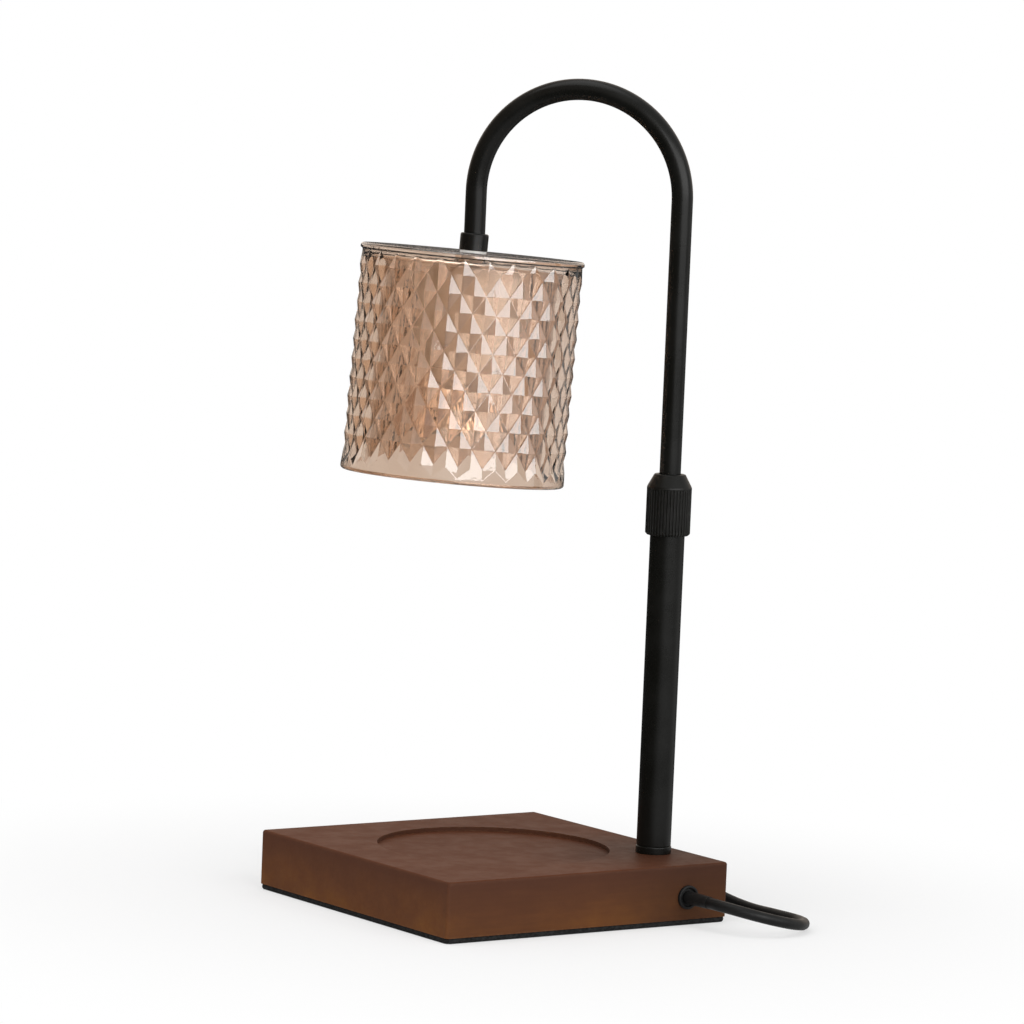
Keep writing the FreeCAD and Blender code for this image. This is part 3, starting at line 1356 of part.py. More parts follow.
def plug_body():
    """Moulded plug with slots that hold the blades and a seat for the sleeve."""
    body = plug_frame("plug_body")
    sketch = new_sketch(body, "YZ_Plane")
    rectangle(sketch, "plug_width", "plug_thick")
    pad(body, sketch, "plug_length")
    soften(body, "Fillet", "plug_round", along_x)
    soften(body, "Fillet", "plug_edge", lambda edge: edge.BoundBox.XLength < 1e-6)
    slots = new_sketch(body, "YZ_Plane", lift="plug_length")
    for across in ("blade_reach", "-blade_reach"):
        rectangle(slots, "blade_slot_width", "blade_slot_rise", across)
    pocket(body, slots, "blade_insert", False)
    relief_seat = new_sketch(body, "YZ_Plane")
    circle(relief_seat, "plug_relief_hole_radius")
    pocket(body, relief_seat, "plug_relief_insert", True)


def plug_blades():
    """Two flat blades with a hole near the tip."""
    body = plug_frame("plug_blades")
    sketch = new_sketch(body, "YZ_Plane", lift="blade_root")
    for across in ("blade_reach", "-blade_reach"):
        rectangle(sketch, "blade_thick", "blade_width", across)
    pad(body, sketch, "blade_total")
    holes = new_sketch(body, "XZ_Plane", lift="blade_pitch")
    circle(holes, "blade_hole_radius", "blade_hole_across")
    pocket(body, holes, "blade_sweep", False)


def plug_relief():
    """Tapered sleeve on the cord, half in the plug and half behind it."""
    body = plug_frame("plug_relief")
    sketch = new_sketch(body, "XY_Plane")
    outline(sketch, [("-plug_relief_length", "cord_seat_radius"), ("plug_relief_insert", "cord_seat_radius"),
                     ("plug_relief_insert", "plug_relief_radius"), (0, "plug_relief_radius"),
                     ("-plug_relief_length", "plug_relief_tip_radius")])
    spin(body, sketch, "H_Axis")


# ---------------------------------------------------------------------------------------------------------
# Build, check and write

MAKERS = (
    base_block, base_pad, counterweight, counterweight_screws, base_nipple, base_washer, base_spring_washer,
    base_nut, foot_plug, outer_tube, collet_seat, collet, collar, guide_bush, stem_rings, hook_tube,
    hook_end_plug, head_nipple, ferrule, shade_gasket, glass_shade, shade_grommet, socket_cover,
    holder_bracket, lock_nut, lamp_holder, holder_contacts, holder_screws, bulb_pins, bulb_neck,
    bulb_reflector, bulb_lens, bulb_capsule, base_lead, post_lead, hook_lead, socket_cores, cords,
    cord_gland, cord_coil, cord_tie, dimmer_lower, dimmer_upper, dimmer_screws, dimmer_board,
    dimmer_control, dimmer_wheel, dimmer_reliefs, plug_body, plug_blades, plug_relief,
)

for make in MAKERS:
    make()
doc.recompute()

broken = [item.Label for item in doc.Objects if "Invalid" in item.State or "Error" in item.State]
if broken:
    raise RuntimeError("failed objects: " + ", ".join(broken))

pieces = [item for item in doc.Objects if item.TypeId in ("PartDesign::Body", "Part::Cut", "Part::Feature")]
for piece in pieces:
    if piece.Shape.isNull() or not piece.Shape.isValid() or not piece.Shape.Solids:
        raise RuntimeError(f"{piece.Label} has no valid solid")

os.makedirs("parts", exist_ok=True)
for piece in pieces:
    piece.Shape.exportStep(os.path.join("parts", piece.Label + ".step"))
print(f"{len(pieces)} nodes, {sum(len(piece.Shape.Solids) for piece in pieces)} solids written")
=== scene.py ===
# %% [markdown]
# Candle warmer lamp. The real lamp is a square stained wooden base with a dished seat, a black telescopic
# post that ends in a hook, and a glass shade full of small pyramids with a reflector bulb inside. The packed
# CAD model already holds every piece at its real size. This script dresses it: it keeps the CAD pieces whose
# shape is right and only gives them a finish, and it makes anew the pieces whose shape needs more points than
# a CAD mesh has.

import math

import bmesh
import bpy
import numpy as np
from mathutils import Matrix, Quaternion, Vector


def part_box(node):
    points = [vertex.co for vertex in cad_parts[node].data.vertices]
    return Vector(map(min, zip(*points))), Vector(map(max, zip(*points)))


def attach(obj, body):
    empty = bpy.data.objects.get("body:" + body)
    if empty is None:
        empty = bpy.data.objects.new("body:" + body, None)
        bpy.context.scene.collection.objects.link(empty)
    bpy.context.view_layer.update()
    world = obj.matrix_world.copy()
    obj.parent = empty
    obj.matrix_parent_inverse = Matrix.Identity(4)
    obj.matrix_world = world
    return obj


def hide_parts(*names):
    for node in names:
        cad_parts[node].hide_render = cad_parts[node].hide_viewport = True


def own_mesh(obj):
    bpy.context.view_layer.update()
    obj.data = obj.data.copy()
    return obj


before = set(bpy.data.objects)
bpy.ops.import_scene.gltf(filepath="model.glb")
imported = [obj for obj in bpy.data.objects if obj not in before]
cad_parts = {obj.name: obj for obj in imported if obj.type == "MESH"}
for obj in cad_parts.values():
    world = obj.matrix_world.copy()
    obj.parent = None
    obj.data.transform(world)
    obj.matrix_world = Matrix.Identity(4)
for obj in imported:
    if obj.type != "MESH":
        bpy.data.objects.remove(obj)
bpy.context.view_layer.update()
MM = 0.001
print("nodes:", len(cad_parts))

# %% [markdown]
# The camera. A product shot is taken from far away with a long lens, so that the verticals stay nearly
# parallel. The camera stands two and a half metres from the lamp, a little above it, and is rolled by a
# couple of degrees.

# %% Camera
CAMERA_PLACE = Vector((-1.3962, -1.9898, 0.4214))
CAMERA_AIM = Vector((0.57219, 0.81399, -0.10009))
CAMERA_ROLL = math.radians(2.40)
LENS = 193.5
SENSOR = 36.0

camera_data = bpy.data.cameras.new("camera")
camera_data.lens = LENS
camera_data.sensor_width = SENSOR
camera = bpy.data.objects.new("camera", camera_data)
bpy.context.scene.collection.objects.link(camera)
camera.rotation_mode = "QUATERNION"
camera.location = CAMERA_PLACE
camera.rotation_quaternion = CAMERA_AIM.to_track_quat("-Z", "Y") @ Quaternion((0, 0, 1), CAMERA_ROLL)
bpy.context.scene.camera = camera
print("camera:", round(CAMERA_PLACE.length, 2), "m from the middle of the base")

# %% [markdown]
# The mains cord. A real cord is one length of round sheathed cable, so it is one NURBS curve with a round
# profile. It leaves the gland straight, comes down to the table, turns round the corner of the base, passes
# through the dimmer and ends in a neat coil and the plug behind the base. A quadratic curve (order 3) touches
# the middle of each leg of its control polygon, so a few points give long, even bends.

# %% Cord: its route, in millimetres
CORD_DIAMETER = 5.0
TO_DIMMER = [(53, -75, 12.6), (53, -81.7, 12.6), (53, -101.1, 12.6), (66.7, -114.8, 8.6), (86.1, -114.8, 4.2),
             (99.8, -101.1, 2.5), (99.8, -81.7, 2.5), (97.5, -60, 2.5), (92, -39, 7.5), (92, -13.9, 7.5)]
TO_COIL = [(92, 44.9, 7.5), (92, 69.9, 7.5), (74.3, 88.0, 3.1), (48.8, 86.6, 3.1), (24.0, 83.25, 3.1)]
TO_PLUG = [(34.0, 150.3, 8.1), (47.5, 140.4, 5.4), (63.0, 130.12, 6.8), (78.8, 121.0, 6.8)]

COIL_CENTRE = (12.0, 120.0)
COIL_OUTER = 37.5
COIL_TURNS = 7.6
COIL_STEPS = 24
COIL_LEVELS = (3.1, 8.1)
COIL_ENTRY = 270
CLIMB_DIP = 1.2
CLIMB_START, CLIMB_SHARE = 0.15, 0.7


def coil_points():
    """Turns of the coil, seen clockwise from above.

    The radius shrinks by one diameter a turn on the lower layer, dips while the cord climbs onto the upper
    layer, and grows by one diameter a turn until it is back at the outside.
    """
    layer_turns = (COIL_TURNS - 1) / 2
    made = []
    for step in range(1, round(COIL_TURNS * COIL_STEPS)):
        turned = step / COIL_STEPS
        climb = min(max(turned - layer_turns, 0.0), 1.0)
        outside = min(turned, layer_turns) if climb < 1 else COIL_TURNS - turned
        radius = COIL_OUTER - CORD_DIAMETER * outside - CLIMB_DIP * math.sin(math.pi * climb)
        lift = min(max((climb - CLIMB_START) / CLIMB_SHARE, 0.0), 1.0)
        level = COIL_LEVELS[0] + (COIL_LEVELS[1] - COIL_LEVELS[0]) * lift * lift * (3 - 2 * lift)
        heading = math.radians(COIL_ENTRY - 360 * turned)
        reach = radius / math.cos(math.pi / COIL_STEPS)
        made.append((COIL_CENTRE[0] + reach * math.cos(heading),
                     COIL_CENTRE[1] + reach * math.sin(heading), level))
    return made


cord_route = TO_DIMMER + TO_COIL + coil_points() + TO_PLUG
print("cord route:", len(cord_route), "points")

# %% Cord: the curve
def cord_curve(name, points, diameter):
    """One open quadratic NURBS spline through the route, with a round profile."""
    curve = bpy.data.curves.new(name, "CURVE")
    curve.dimensions = "3D"
    curve.bevel_depth = diameter * MM / 2
    curve.bevel_resolution = 5
    curve.resolution_u = 10
    curve.use_fill_caps = True
    spline = curve.splines.new("NURBS")
    spline.points.add(len(points) - 1)
    places = np.column_stack([np.array(points) * MM, np.ones(len(points))])
    spline.points.foreach_set("co", places.ravel())
    spline.order_u = 3
    spline.use_endpoint_u = True
    cord = bpy.data.objects.new(name, curve)
    bpy.context.scene.collection.objects.link(cord)
    return cord


cord = cord_curve("mains_cord", cord_route, CORD_DIAMETER)
print("cord:", len(cord.data.splines[0].points), "control points")

# %% [markdown]
# Meshes from grids. Every new piece is a sheet of points in rows and columns, worked out with numpy as whole
# arrays and joined by four-sided faces. Rows run along the piece and columns run round it. A turned piece
# could also be spun with a modifier, but a grid keeps every point under control, so flutes and facets can be
# cut in it.

# %% Grids into a mesh
UPRIGHT = ((1, 0, 0), (0, 1, 0), (0, 0, 1))


def grid_faces(rows, columns, close_rows, first=0):
    """Faces of one grid: a point, its neighbour round the piece and the two above. Columns always close."""
    row, column = np.meshgrid(np.arange(rows if close_rows else rows - 1), np.arange(columns), indexing="ij")
    above, beside = (row + 1) % rows, (column + 1) % columns
    corners = [(row, column), (row, beside), (above, beside), (above, column)]
    return first + np.stack([up * columns + along for up, along in corners], -1).reshape(-1, 4)


def joined(grids, close_rows=True):
    """Points and faces of several grids as one set."""
    faces, first = [], 0
    for grid in grids:
        faces.append(grid_faces(*grid.shape[:2], close_rows, first))
        first += grid.shape[0] * grid.shape[1]
    return np.concatenate([grid.reshape(-1, 3) for grid in grids]), np.concatenate(faces).tolist()


def placed(points, origin, axes=UPRIGHT):
    """Points of a piece's own frame put where its origin and its three axes lie in the lamp."""
    return points @ np.array(axes, float) + np.array(origin, float)


print("three rings of eight points make", len(grid_faces(3, 8, close_rows=False)), "faces")

# %% A mesh into a piece
finishes = {}
MERGE_DISTANCE = 2e-6


def new_piece(name, points, faces, body, slot, stands_for, sharp=40, even=True):
    """Mesh of points in millimetres, merged where they coincide and smooth except over the sharp angle."""
    mesh = bpy.data.meshes.new(name)
    mesh.from_pydata((points * MM).tolist(), [], faces)
    shell = bmesh.new()
    shell.from_mesh(mesh)
    bmesh.ops.remove_doubles(shell, verts=shell.verts, dist=MERGE_DISTANCE)
    shell.to_mesh(mesh)
    open_edges = sum(edge.is_boundary for edge in shell.edges)
    shell.free()
    mesh.shade_smooth()
    mesh.set_sharp_from_angle(angle=math.radians(sharp))
    made = bpy.data.objects.new(name, mesh)
    bpy.context.scene.collection.objects.link(made)
    if even:
        weighted = made.modifiers.new("even_shading", "WEIGHTED_NORMAL")
        weighted.keep_sharp = True
    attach(made, body)
    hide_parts(*stands_for)
    finishes.setdefault(slot, []).append(made)
    print(name, "faces:", len(mesh.polygons), "open edges:", open_edges)
    return made


def grid_piece(name, grids, body, slot, stands_for, close_rows=True, sharp=40):
    """A piece whose whole surface is one or more grids, already in their place."""
    points, faces = joined(grids, close_rows)
    return new_piece(name, points, faces, body, slot, stands_for, sharp)


print("points closer than", MERGE_DISTANCE / MM, "mm become one")

# %% [markdown]
# Outlines. Most pieces of the post and the head are turned on a lathe, so each starts as the outline that the
# tool follows: corners given by radius and level, each with its fillet. A fillet could be left to a Bevel
# modifier, but then every corner would get the same one. The outline is then carried round the axis.

# %% Outlines and turned shapes
def rounded(corners, steps=5):
    """Closed outline through corners (radius, level, fillet); a fillet is an arc that touches both edges."""
    corners = np.array(corners, float)
    runs = []
    for index, fillet in enumerate(corners[:, 2]):
        here = corners[index, :2]
        if fillet == 0:
            runs.append(here[None])
            continue
        back = corners[index - 1, :2] - here
        ahead = corners[(index + 1) % len(corners), :2] - here
        back, ahead = back / np.linalg.norm(back), ahead / np.linalg.norm(ahead)
        half = math.acos(np.clip(back @ ahead, -1, 1)) / 2
        middle = (back + ahead) / np.linalg.norm(back + ahead)
        centre = here + middle * fillet / math.sin(half)
        start = here + back * fillet / math.tan(half) - centre
        end = here + ahead * fillet / math.tan(half) - centre
        turn = math.atan2(start[0] * end[1] - start[1] * end[0], start @ end)
        angle = np.linspace(0, turn, steps + 1)[:, None]
        across_start = np.array([-start[1], start[0]])
        runs.append(centre + start * np.cos(angle) + across_start * np.sin(angle))
    return np.concatenate(runs)


def revolved(outline, steps=96, radius_change=0.0):
    """Outline (radius, level) carried round the Z axis; a change may be added to the radius of each point."""
    turn = np.arange(steps) * 2 * np.pi / steps
    radius = outline[:, :1] + radius_change
    level = np.broadcast_to(outline[:, 1:], (len(outline), steps))
    return np.stack([radius * np.cos(turn), radius * np.sin(turn), level], -1)


square = rounded([(0, 0, 0), (2, 0, 0), (2, 2, 0.5), (0, 2, 0)])
print("a square with one corner rounded has", len(square), "points")

# %% [markdown]
# Two frames. The post stands upright where the CAD tube is, and the head hangs from the hook's end and leans
# a little. Pieces of either are drawn in its own frame, which keeps their numbers round, and then put in
# place.

# %% Frames of the post and of the head
tube_low, tube_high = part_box("outer_tube")
POST = ((tube_low.x + tube_high.x) / 2 / MM, (tube_low.y + tube_high.y) / 2 / MM, 0)
HOOK_REACH = 94.4
HOOK_HEADING = math.radians(130)
HOOK_WAY = np.array([math.cos(HOOK_HEADING), math.sin(HOOK_HEADING), 0])
HEAD_LEVEL = 296.2
HEAD_LEAN = math.radians(3.7)
HEAD = np.array(POST) + HOOK_REACH * HOOK_WAY + (0, 0, HEAD_LEVEL)
LEAN_COS, LEAN_SIN = math.cos(HEAD_LEAN), math.sin(HEAD_LEAN)
HEAD_AXES = ((LEAN_COS, 0, -LEAN_SIN), (0, 1, 0), (LEAN_SIN, 0, LEAN_COS))
print("post at", [round(v, 2) for v in POST], "head at", HEAD.round(2))

# %% [markdown]
# The glass shade. On the real lamp it is pressed glass: a cylinder whose outside is covered with low pyramids
# in staggered rows, with a smooth band at the roof and another at the rim. Peaks and valleys take turns along
# every row and every column, like the squares of a chessboard. Each cell of that board is cut along its
# valley-to-valley diagonal, so that every peak gets four flat faces. A narrow bevel then rounds each edge, as
# hot glass does. A bump texture would be lighter, but it bends no light and leaves the outline straight.

# %% Glass shade: sizes and outer wall
SHADE_RADIUS = 50.2
SHADE_BORE = 47.0
SHADE_TOP, SHADE_ROOF, SHADE_RIM = -6.0, -9.6, -107.4
SHADE_HOLE = 5.25
PYRAMIDS = 28
PYRAMID_DEPTH = 1.5
PEAK_SETBACK = 0.1
ROW_STEP = 8.42
ROWS = 11
FIRST_ROW = -15.6
BAND_TOP = -8.6
BAND_RIM = -104.6
MOULD_WEAR = 0.16
MOULD_WEAR_SEED = 5


def shade_wall():
    """Outer wall: radius is the full radius at peaks and less by the depth at valleys, in alternate places.

    Points stand half a pyramid apart round the wall and in level. Each one then moves by up to the wear of
    the mould, in or out, and by twice that up or down, so that no two faces lean quite alike.
    """
    columns = 2 * PYRAMIDS
    turn = np.arange(columns) * 2 * np.pi / columns
    row = np.arange(ROWS)[:, None]
    valley = (row + np.arange(columns)[None, :]) % 2
    worn_in, worn_up = MOULD_WEAR * np.random.default_rng(MOULD_WEAR_SEED).uniform(-1, 1, (2, ROWS, columns))
    radius = SHADE_RADIUS - PEAK_SETBACK - MOULD_WEAR - PYRAMID_DEPTH * valley + worn_in
    level = FIRST_ROW - ROW_STEP * row + 2 * worn_up
    return radius, level, turn, valley


wall = shade_wall()
print("shade wall:", wall[0].size, "points, at least", round(wall[0].min() - SHADE_BORE, 2), "mm thick")


# %% Glass shade: closed shell
BAND_SLOPE = 0.5


def glass_shade(radius, level, turn, valley):
    """Closed shell: roof, hole, bore and rims are a turned outline; the outer wall is the pyramid board.

    In the board a cell is cut from its lower left to its upper right corner where that joins two valleys, and
    the other way where it doesn't. The ring under the roof is half as deep as the valleys, and the one at the
    rim is at the full radius.
    """
    columns = len(turn)
    outline = rounded([(SHADE_RADIUS - PEAK_SETBACK - PYRAMID_DEPTH / 2, BAND_TOP, 0),
                       (SHADE_RADIUS, BAND_TOP + BAND_SLOPE, 0.2), (SHADE_RADIUS, SHADE_TOP, 1.3),
                       (SHADE_HOLE, SHADE_TOP, 0.3), (SHADE_HOLE, SHADE_ROOF, 0.3),
                       (SHADE_BORE, SHADE_ROOF, 3.0), (SHADE_BORE, SHADE_RIM, 1.5),
                       (SHADE_RADIUS, SHADE_RIM, 1.55), (SHADE_RADIUS, BAND_RIM, 0)], steps=8)
    smooth = np.broadcast_to(outline[:, :1], (len(outline), columns))
    lifted = np.broadcast_to(outline[:, 1:], (len(outline), columns))
    around = np.concatenate([smooth, radius[::-1]])
    levels = np.concatenate([lifted, level[::-1]])
    points = np.stack([around * np.cos(turn), around * np.sin(turn), levels], -1)
    low = np.concatenate([np.zeros(smooth.shape, int), valley[::-1]])
    rising = low == 1
    rising[len(outline) - 1] = rising[len(outline)]
    board = np.arange(len(points)).repeat(columns) >= len(outline) - 1
    rising = rising.ravel()
    quads = grid_faces(len(points), columns, True)
    up, down = quads[board & rising], quads[board & ~rising]
    cells = np.concatenate([up[:, [0, 1, 2]], up[:, [0, 2, 3]], down[:, [0, 1, 3]], down[:, [1, 2, 3]]])
    faces = quads[~board].tolist() + cells.tolist()
    return placed(points.reshape(-1, 3), HEAD, HEAD_AXES), faces


shade_points, shade_faces = glass_shade(*wall)
print("shade shell:", len(shade_points), "points,", len(shade_faces), "faces")

# %% Glass shade: the piece
EDGE_ROUNDING = 0.28
SHALLOWEST_EDGE = 14
shade = new_piece("faceted_shade", shade_points, shade_faces, "arm", "amber_glass", ["glass_shade"], sharp=60,
                  even=False)
soft_edges = shade.modifiers.new("pressed_edges", "BEVEL")
soft_edges.width = EDGE_ROUNDING * MM
soft_edges.segments = 2
soft_edges.limit_method = "ANGLE"
soft_edges.angle_limit = math.radians(SHALLOWEST_EDGE)
shade_normals = shade.modifiers.new("even_shading", "WEIGHTED_NORMAL")
shade_normals.keep_sharp = True

# %% [markdown]
# The hooked tube. It is one steel tube, bent round a former: straight, half a circle, straight again. Its
# surface is a circle carried along that line. The bend stays in one upright plane, so the circle can keep one
# direction square to the plane all the way, and the tube doesn't twist.

# %% Hooked tube
STEM_RADIUS, STEM_BORE = 4.75, 3.75
STEM_LOW, STEM_BEND, HOOK_END = 138.0, 317.6, 295.8
STRAIGHT_END = STEM_BEND - 2
BEND_RADIUS = HOOK_REACH / 2


def hook_line(bend_steps=72):
    """Centre line and how far it is turned: up the post, half round the bend, down to the head."""
    angle = np.linspace(0, np.pi, bend_steps + 1)
    turned = np.concatenate([[0, 0], angle, [np.pi, np.pi]])
    reach = BEND_RADIUS - BEND_RADIUS * np.cos(turned)
    level = STEM_BEND + BEND_RADIUS * np.sin(turned)
    level[:2] = STEM_LOW, STRAIGHT_END
    level[-2:] = STRAIGHT_END, HOOK_END
    return reach, level, turned


def hook_skin(radius, steps=64):
    """Circle round each point of the line: radius times cosine along the inward normal and sine across it."""
    reach, level, turned = hook_line()
    inward = np.cos(turned)[:, None] * HOOK_WAY - np.sin(turned)[:, None] * np.array([0, 0, 1])
    across = np.array([-HOOK_WAY[1], HOOK_WAY[0], 0])
    middle = np.array(POST) + reach[:, None] * HOOK_WAY + level[:, None] * np.array([0, 0, 1])
    angle = (np.arange(steps) * 2 * np.pi / steps)[None, :, None]
    return middle[:, None] + radius * (np.cos(angle) * inward[:, None] + np.sin(angle) * across)


hook_shell = np.concatenate([hook_skin(STEM_RADIUS), hook_skin(STEM_BORE)[::-1]])
grid_piece("bent_tube", [hook_shell], "arm", "black_lacquer", ["hook_tube"])

# %% [markdown]
# The turned and moulded pieces of the post and head. Each is an outline carried round its axis. Where the
# real piece was broken at the edges or dished, the outline is too, because those small rounds catch the
# light.

# %% Post tube, foot and ferrule
TUBE_RADIUS, TUBE_BORE = 7.7, 6.5
TUBE_LOW, TUBE_HIGH = tube_low.z / MM, tube_high.z / MM
FOOT_LOW, FOOT_TOP = 26.9, 42.3
tube = rounded([(TUBE_BORE, TUBE_HIGH, 0.2), (TUBE_BORE, TUBE_LOW, 0.2), (TUBE_RADIUS, TUBE_LOW, 0.35),
                (TUBE_RADIUS, TUBE_HIGH, 0.3)])
grid_piece("post_tube", [placed(revolved(tube), POST)], "base", "black_lacquer", ["outer_tube"])

foot = rounded([(5.05, FOOT_TOP, 0), (5.05, FOOT_LOW, 0), (7.95, FOOT_LOW, 0.3), (7.95, TUBE_LOW, 0.55),
                (6.45, TUBE_LOW, 0), (6.45, FOOT_TOP, 0.6)])
grid_piece("post_foot", [placed(revolved(foot), POST)], "base", "black_lacquer", ["foot_plug"])

ferrule = rounded([(2.85, -1.2, 0), (2.85, -5.4, 0), (6.35, -5.4, 0.4), (6.35, 2.4, 0.9), (5.2, 2.4, 0.2),
                   (5.2, -1.2, 0)])
grid_piece("shade_ferrule", [placed(revolved(ferrule), HEAD, HEAD_AXES)], "arm", "black_lacquer", ["ferrule"])

# %% [markdown]
# The lead inside the post. It has to be long enough for the hook at its highest, so at other heights it lies
# in loose turns. It is a circle carried along a helix whose radius starts and ends at nothing.

# %% Slack lead
LEAD_RADIUS, LEAD_TURNS, LEAD_SWAY = 1.3, 4, 2.6
LEAD_LOW, LEAD_HIGH = 40.8, 136.0


def slack_lead(rows=160, steps=12):
    """Circle round a helix; the helix's radius is the sway times the sine of half a turn from end to end."""
    along = np.linspace(0, 1, rows)
    angle = 2 * np.pi * LEAD_TURNS * along
    sway = LEAD_SWAY * np.sin(np.pi * along)
    level = LEAD_LOW + (LEAD_HIGH - LEAD_LOW) * along
    line = np.stack([sway * np.cos(angle), sway * np.sin(angle), level], 1)
    heading = np.gradient(line, axis=0)
    heading[[0, -1]] = (0, 0, 1)
    heading /= np.linalg.norm(heading, axis=1)[:, None]
    first = np.cross((0, 1, 0), heading)
    first /= np.linalg.norm(first, axis=1)[:, None]
    second = np.cross(heading, first)
    turn = np.arange(steps) * 2 * np.pi / steps
    skin = line[:, None] + LEAD_RADIUS * (np.cos(turn)[None, :, None] * first[:, None] +
                                          np.sin(turn)[None, :, None] * second[:, None])
    ends = [np.broadcast_to(line[[row]][:, None], (1, steps, 3)) for row in (0, -1)]
    return placed(np.concatenate([ends[0], skin, ends[1]]), POST)


lead = grid_piece("slack_lead", [slack_lead()], "base", "lead_sheath", ["post_lead"], close_rows=False)
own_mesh(lead)

# %% [markdown]
# The foam pad under the base. It is cut almost flush with the wood and bulges a little where the lamp's
# weight presses it. A die-cut sheet is a square with round corners, so each ring of points is such a square.

# %% Foam pad
PAD_HALF, PAD_CORNER, PAD_RISE = 74.85, 2.4, 2.5


def pad_skin(corner_steps=8):
    """Rings of a round-cornered square: corner centre plus corner radius times direction, scaled by ring."""
    quarters = [np.linspace(quarter, quarter + 90, corner_steps) for quarter in (0, 90, 180, 270)]
    angle = np.radians(np.concatenate(quarters))
    corner = np.repeat([(1, 1), (-1, 1), (-1, -1), (1, -1)], corner_steps, axis=0) * (PAD_HALF - PAD_CORNER)
    ring = corner + PAD_CORNER * np.stack([np.cos(angle), np.sin(angle)], 1)
    inset = np.array([75.0, 12.0, 0.9, 0.45, 0.12, 0.0, 0.1, 0.5, 12.0, 75.0])
    level = np.array([0.0, 0.0, 0.0, 0.12, 0.6, 1.3, 2.1, PAD_RISE, PAD_RISE, PAD_RISE])
    scale = np.clip(1 - inset / PAD_HALF, 0, None)
    flat = ring[None] * scale[:, None, None]
    return np.concatenate([flat, np.broadcast_to(level[:, None, None], flat.shape[:2] + (1,))], 2)


grid_piece("foam_pad", [pad_skin()], "base", "black_foam", ["base_pad"], close_rows=False)

# %% [markdown]
# The locking collar. It is turned on a lathe and its lower part is then fluted for grip. The flutes are
# shallow round grooves, so the radius drops along a circle's arc inside each groove. Twelve points for each
# flute are enough to keep its two crisp edges.

# %% Locking collar
FLUTES = 42
FLUTE_HALF = 0.5
FLUTE_TOP = 190.4
COLLAR_RADIUS = 10.0
FLUTED_FROM = 9.0
POINTS_PER_FLUTE = 12


def collar_skin():
    """Turned outline whose radius drops in the flutes: R minus the height of a small circle over the skin."""
    outline = rounded([(5.05, 192.8, 0), (5.8, 192.8, 0), (5.8, 192.5, 0), (7.1, 186.7, 0), (7.5, 186.7, 0),
                       (7.5, 172.2, 0), (8.0, 172.2, 0), (8.0, 169.6, 0.3), (9.1, 169.6, 0.15),
                       (COLLAR_RADIUS, 170.5, 0.2), (COLLAR_RADIUS, 190.0, 0), (COLLAR_RADIUS, 190.6, 0),
                       (COLLAR_RADIUS, 191.0, 2.2), (6.9, 196.8, 0.9), (5.05, 196.8, 0.3)])
    steps = FLUTES * POINTS_PER_FLUTE
    turn = np.arange(steps) * 2 * np.pi / steps
    aside = (turn * FLUTES / (2 * np.pi) % 1 - 0.5) * 2 * np.pi / FLUTES * COLLAR_RADIUS
    groove = np.sqrt(np.clip(FLUTE_HALF ** 2 - aside ** 2, 0, None))
    fluted = (outline[:, 0] > FLUTED_FROM) & (outline[:, 1] < FLUTE_TOP)
    return revolved(outline, steps, -groove[None, :] * fluted[:, None])


grid_piece("fluted_collar", [placed(collar_skin(), POST)], "collar", "black_lacquer_collar", ["collar"],
           sharp=32)

# %% [markdown]
# The cord's bush in the side of the base. It is moulded rubber: a ring whose face is dished towards the cord,
# and a short tapered nose. The ribs of the sleeves further along the cord are moulded too, so that they bend.

# %% Cord bush
BUSH = (53.0, -75.0, 12.6)
BUSH_AXES = ((1, 0, 0), (0, 0, 1), (0, -1, 0))
bush = rounded([(2.55, 16.4, 0), (2.55, -8.0, 0), (4.5, -8.0, 0), (4.5, 0, 0), (5.3, 0, 0.2), (5.3, 1.5, 0.5),
                (4.25, 1.5, 0.4), (3.9, 0.15, 0.2), (2.95, 0.15, 0.2), (2.72, 16.4, 0.08)])
grid_piece("cord_bush", [placed(revolved(bush, 64), BUSH, BUSH_AXES)], "base", "black_rubber", ["cord_gland"])

# %% Tapered sleeves of the dimmer and the plug
RIB_DIP = 0.32
SLEEVE_BORE = 2.55


def ribbed_sleeve(root, tip, start, end, ribs, insert):
    """Tapered sleeve: the radius falls evenly from root to tip and dips by a clipped cosine at each rib."""
    along = np.linspace(start, end, ribs * 10 + 1)
    phase = (along - start) / (end - start)
    radius = root + (tip - root) * phase
    dip = RIB_DIP * np.clip(np.cos(2 * np.pi * ribs * phase) * -1.6 - 0.4, 0, 1)
    skin = np.stack([radius - dip, along], 1)
    ends = [[SLEEVE_BORE, end], [SLEEVE_BORE, insert], [root, insert]]
    return revolved(np.concatenate([ends, skin]), 48)


DIMMER = (92.0, 15.5, 7.5)
sleeves = [placed(ribbed_sleeve(4.0, 3.1, 31.0, 43.0, 5, insert=22.6), DIMMER, axes)
           for axes in (((1, 0, 0), (0, 0, -1), (0, 1, 0)), ((1, 0, 0), (0, 0, 1), (0, -1, 0)))]
grid_piece("dimmer_sleeves", sleeves, "base", "black_rubber", ["dimmer_reliefs"])

PLUG = (78.8, 121.0, 6.8)
PLUG_HEADING = math.radians(-30)
PLUG_COS, PLUG_SIN = math.cos(PLUG_HEADING), math.sin(PLUG_HEADING)
PLUG_AXES = ((PLUG_COS, PLUG_SIN, 0), (-PLUG_SIN, PLUG_COS, 0), (0, 0, 1))
BACK_AXES = (PLUG_AXES[1], (0, 0, -1), tuple(-v for v in PLUG_AXES[0]))
plug_sleeve = placed(ribbed_sleeve(4.5, 3.1, 0.0, 10.0, 4, insert=-10.0), PLUG, BACK_AXES)
grid_piece("plug_sleeve", [plug_sleeve], "base", "black_rubber", ["plug_relief"])

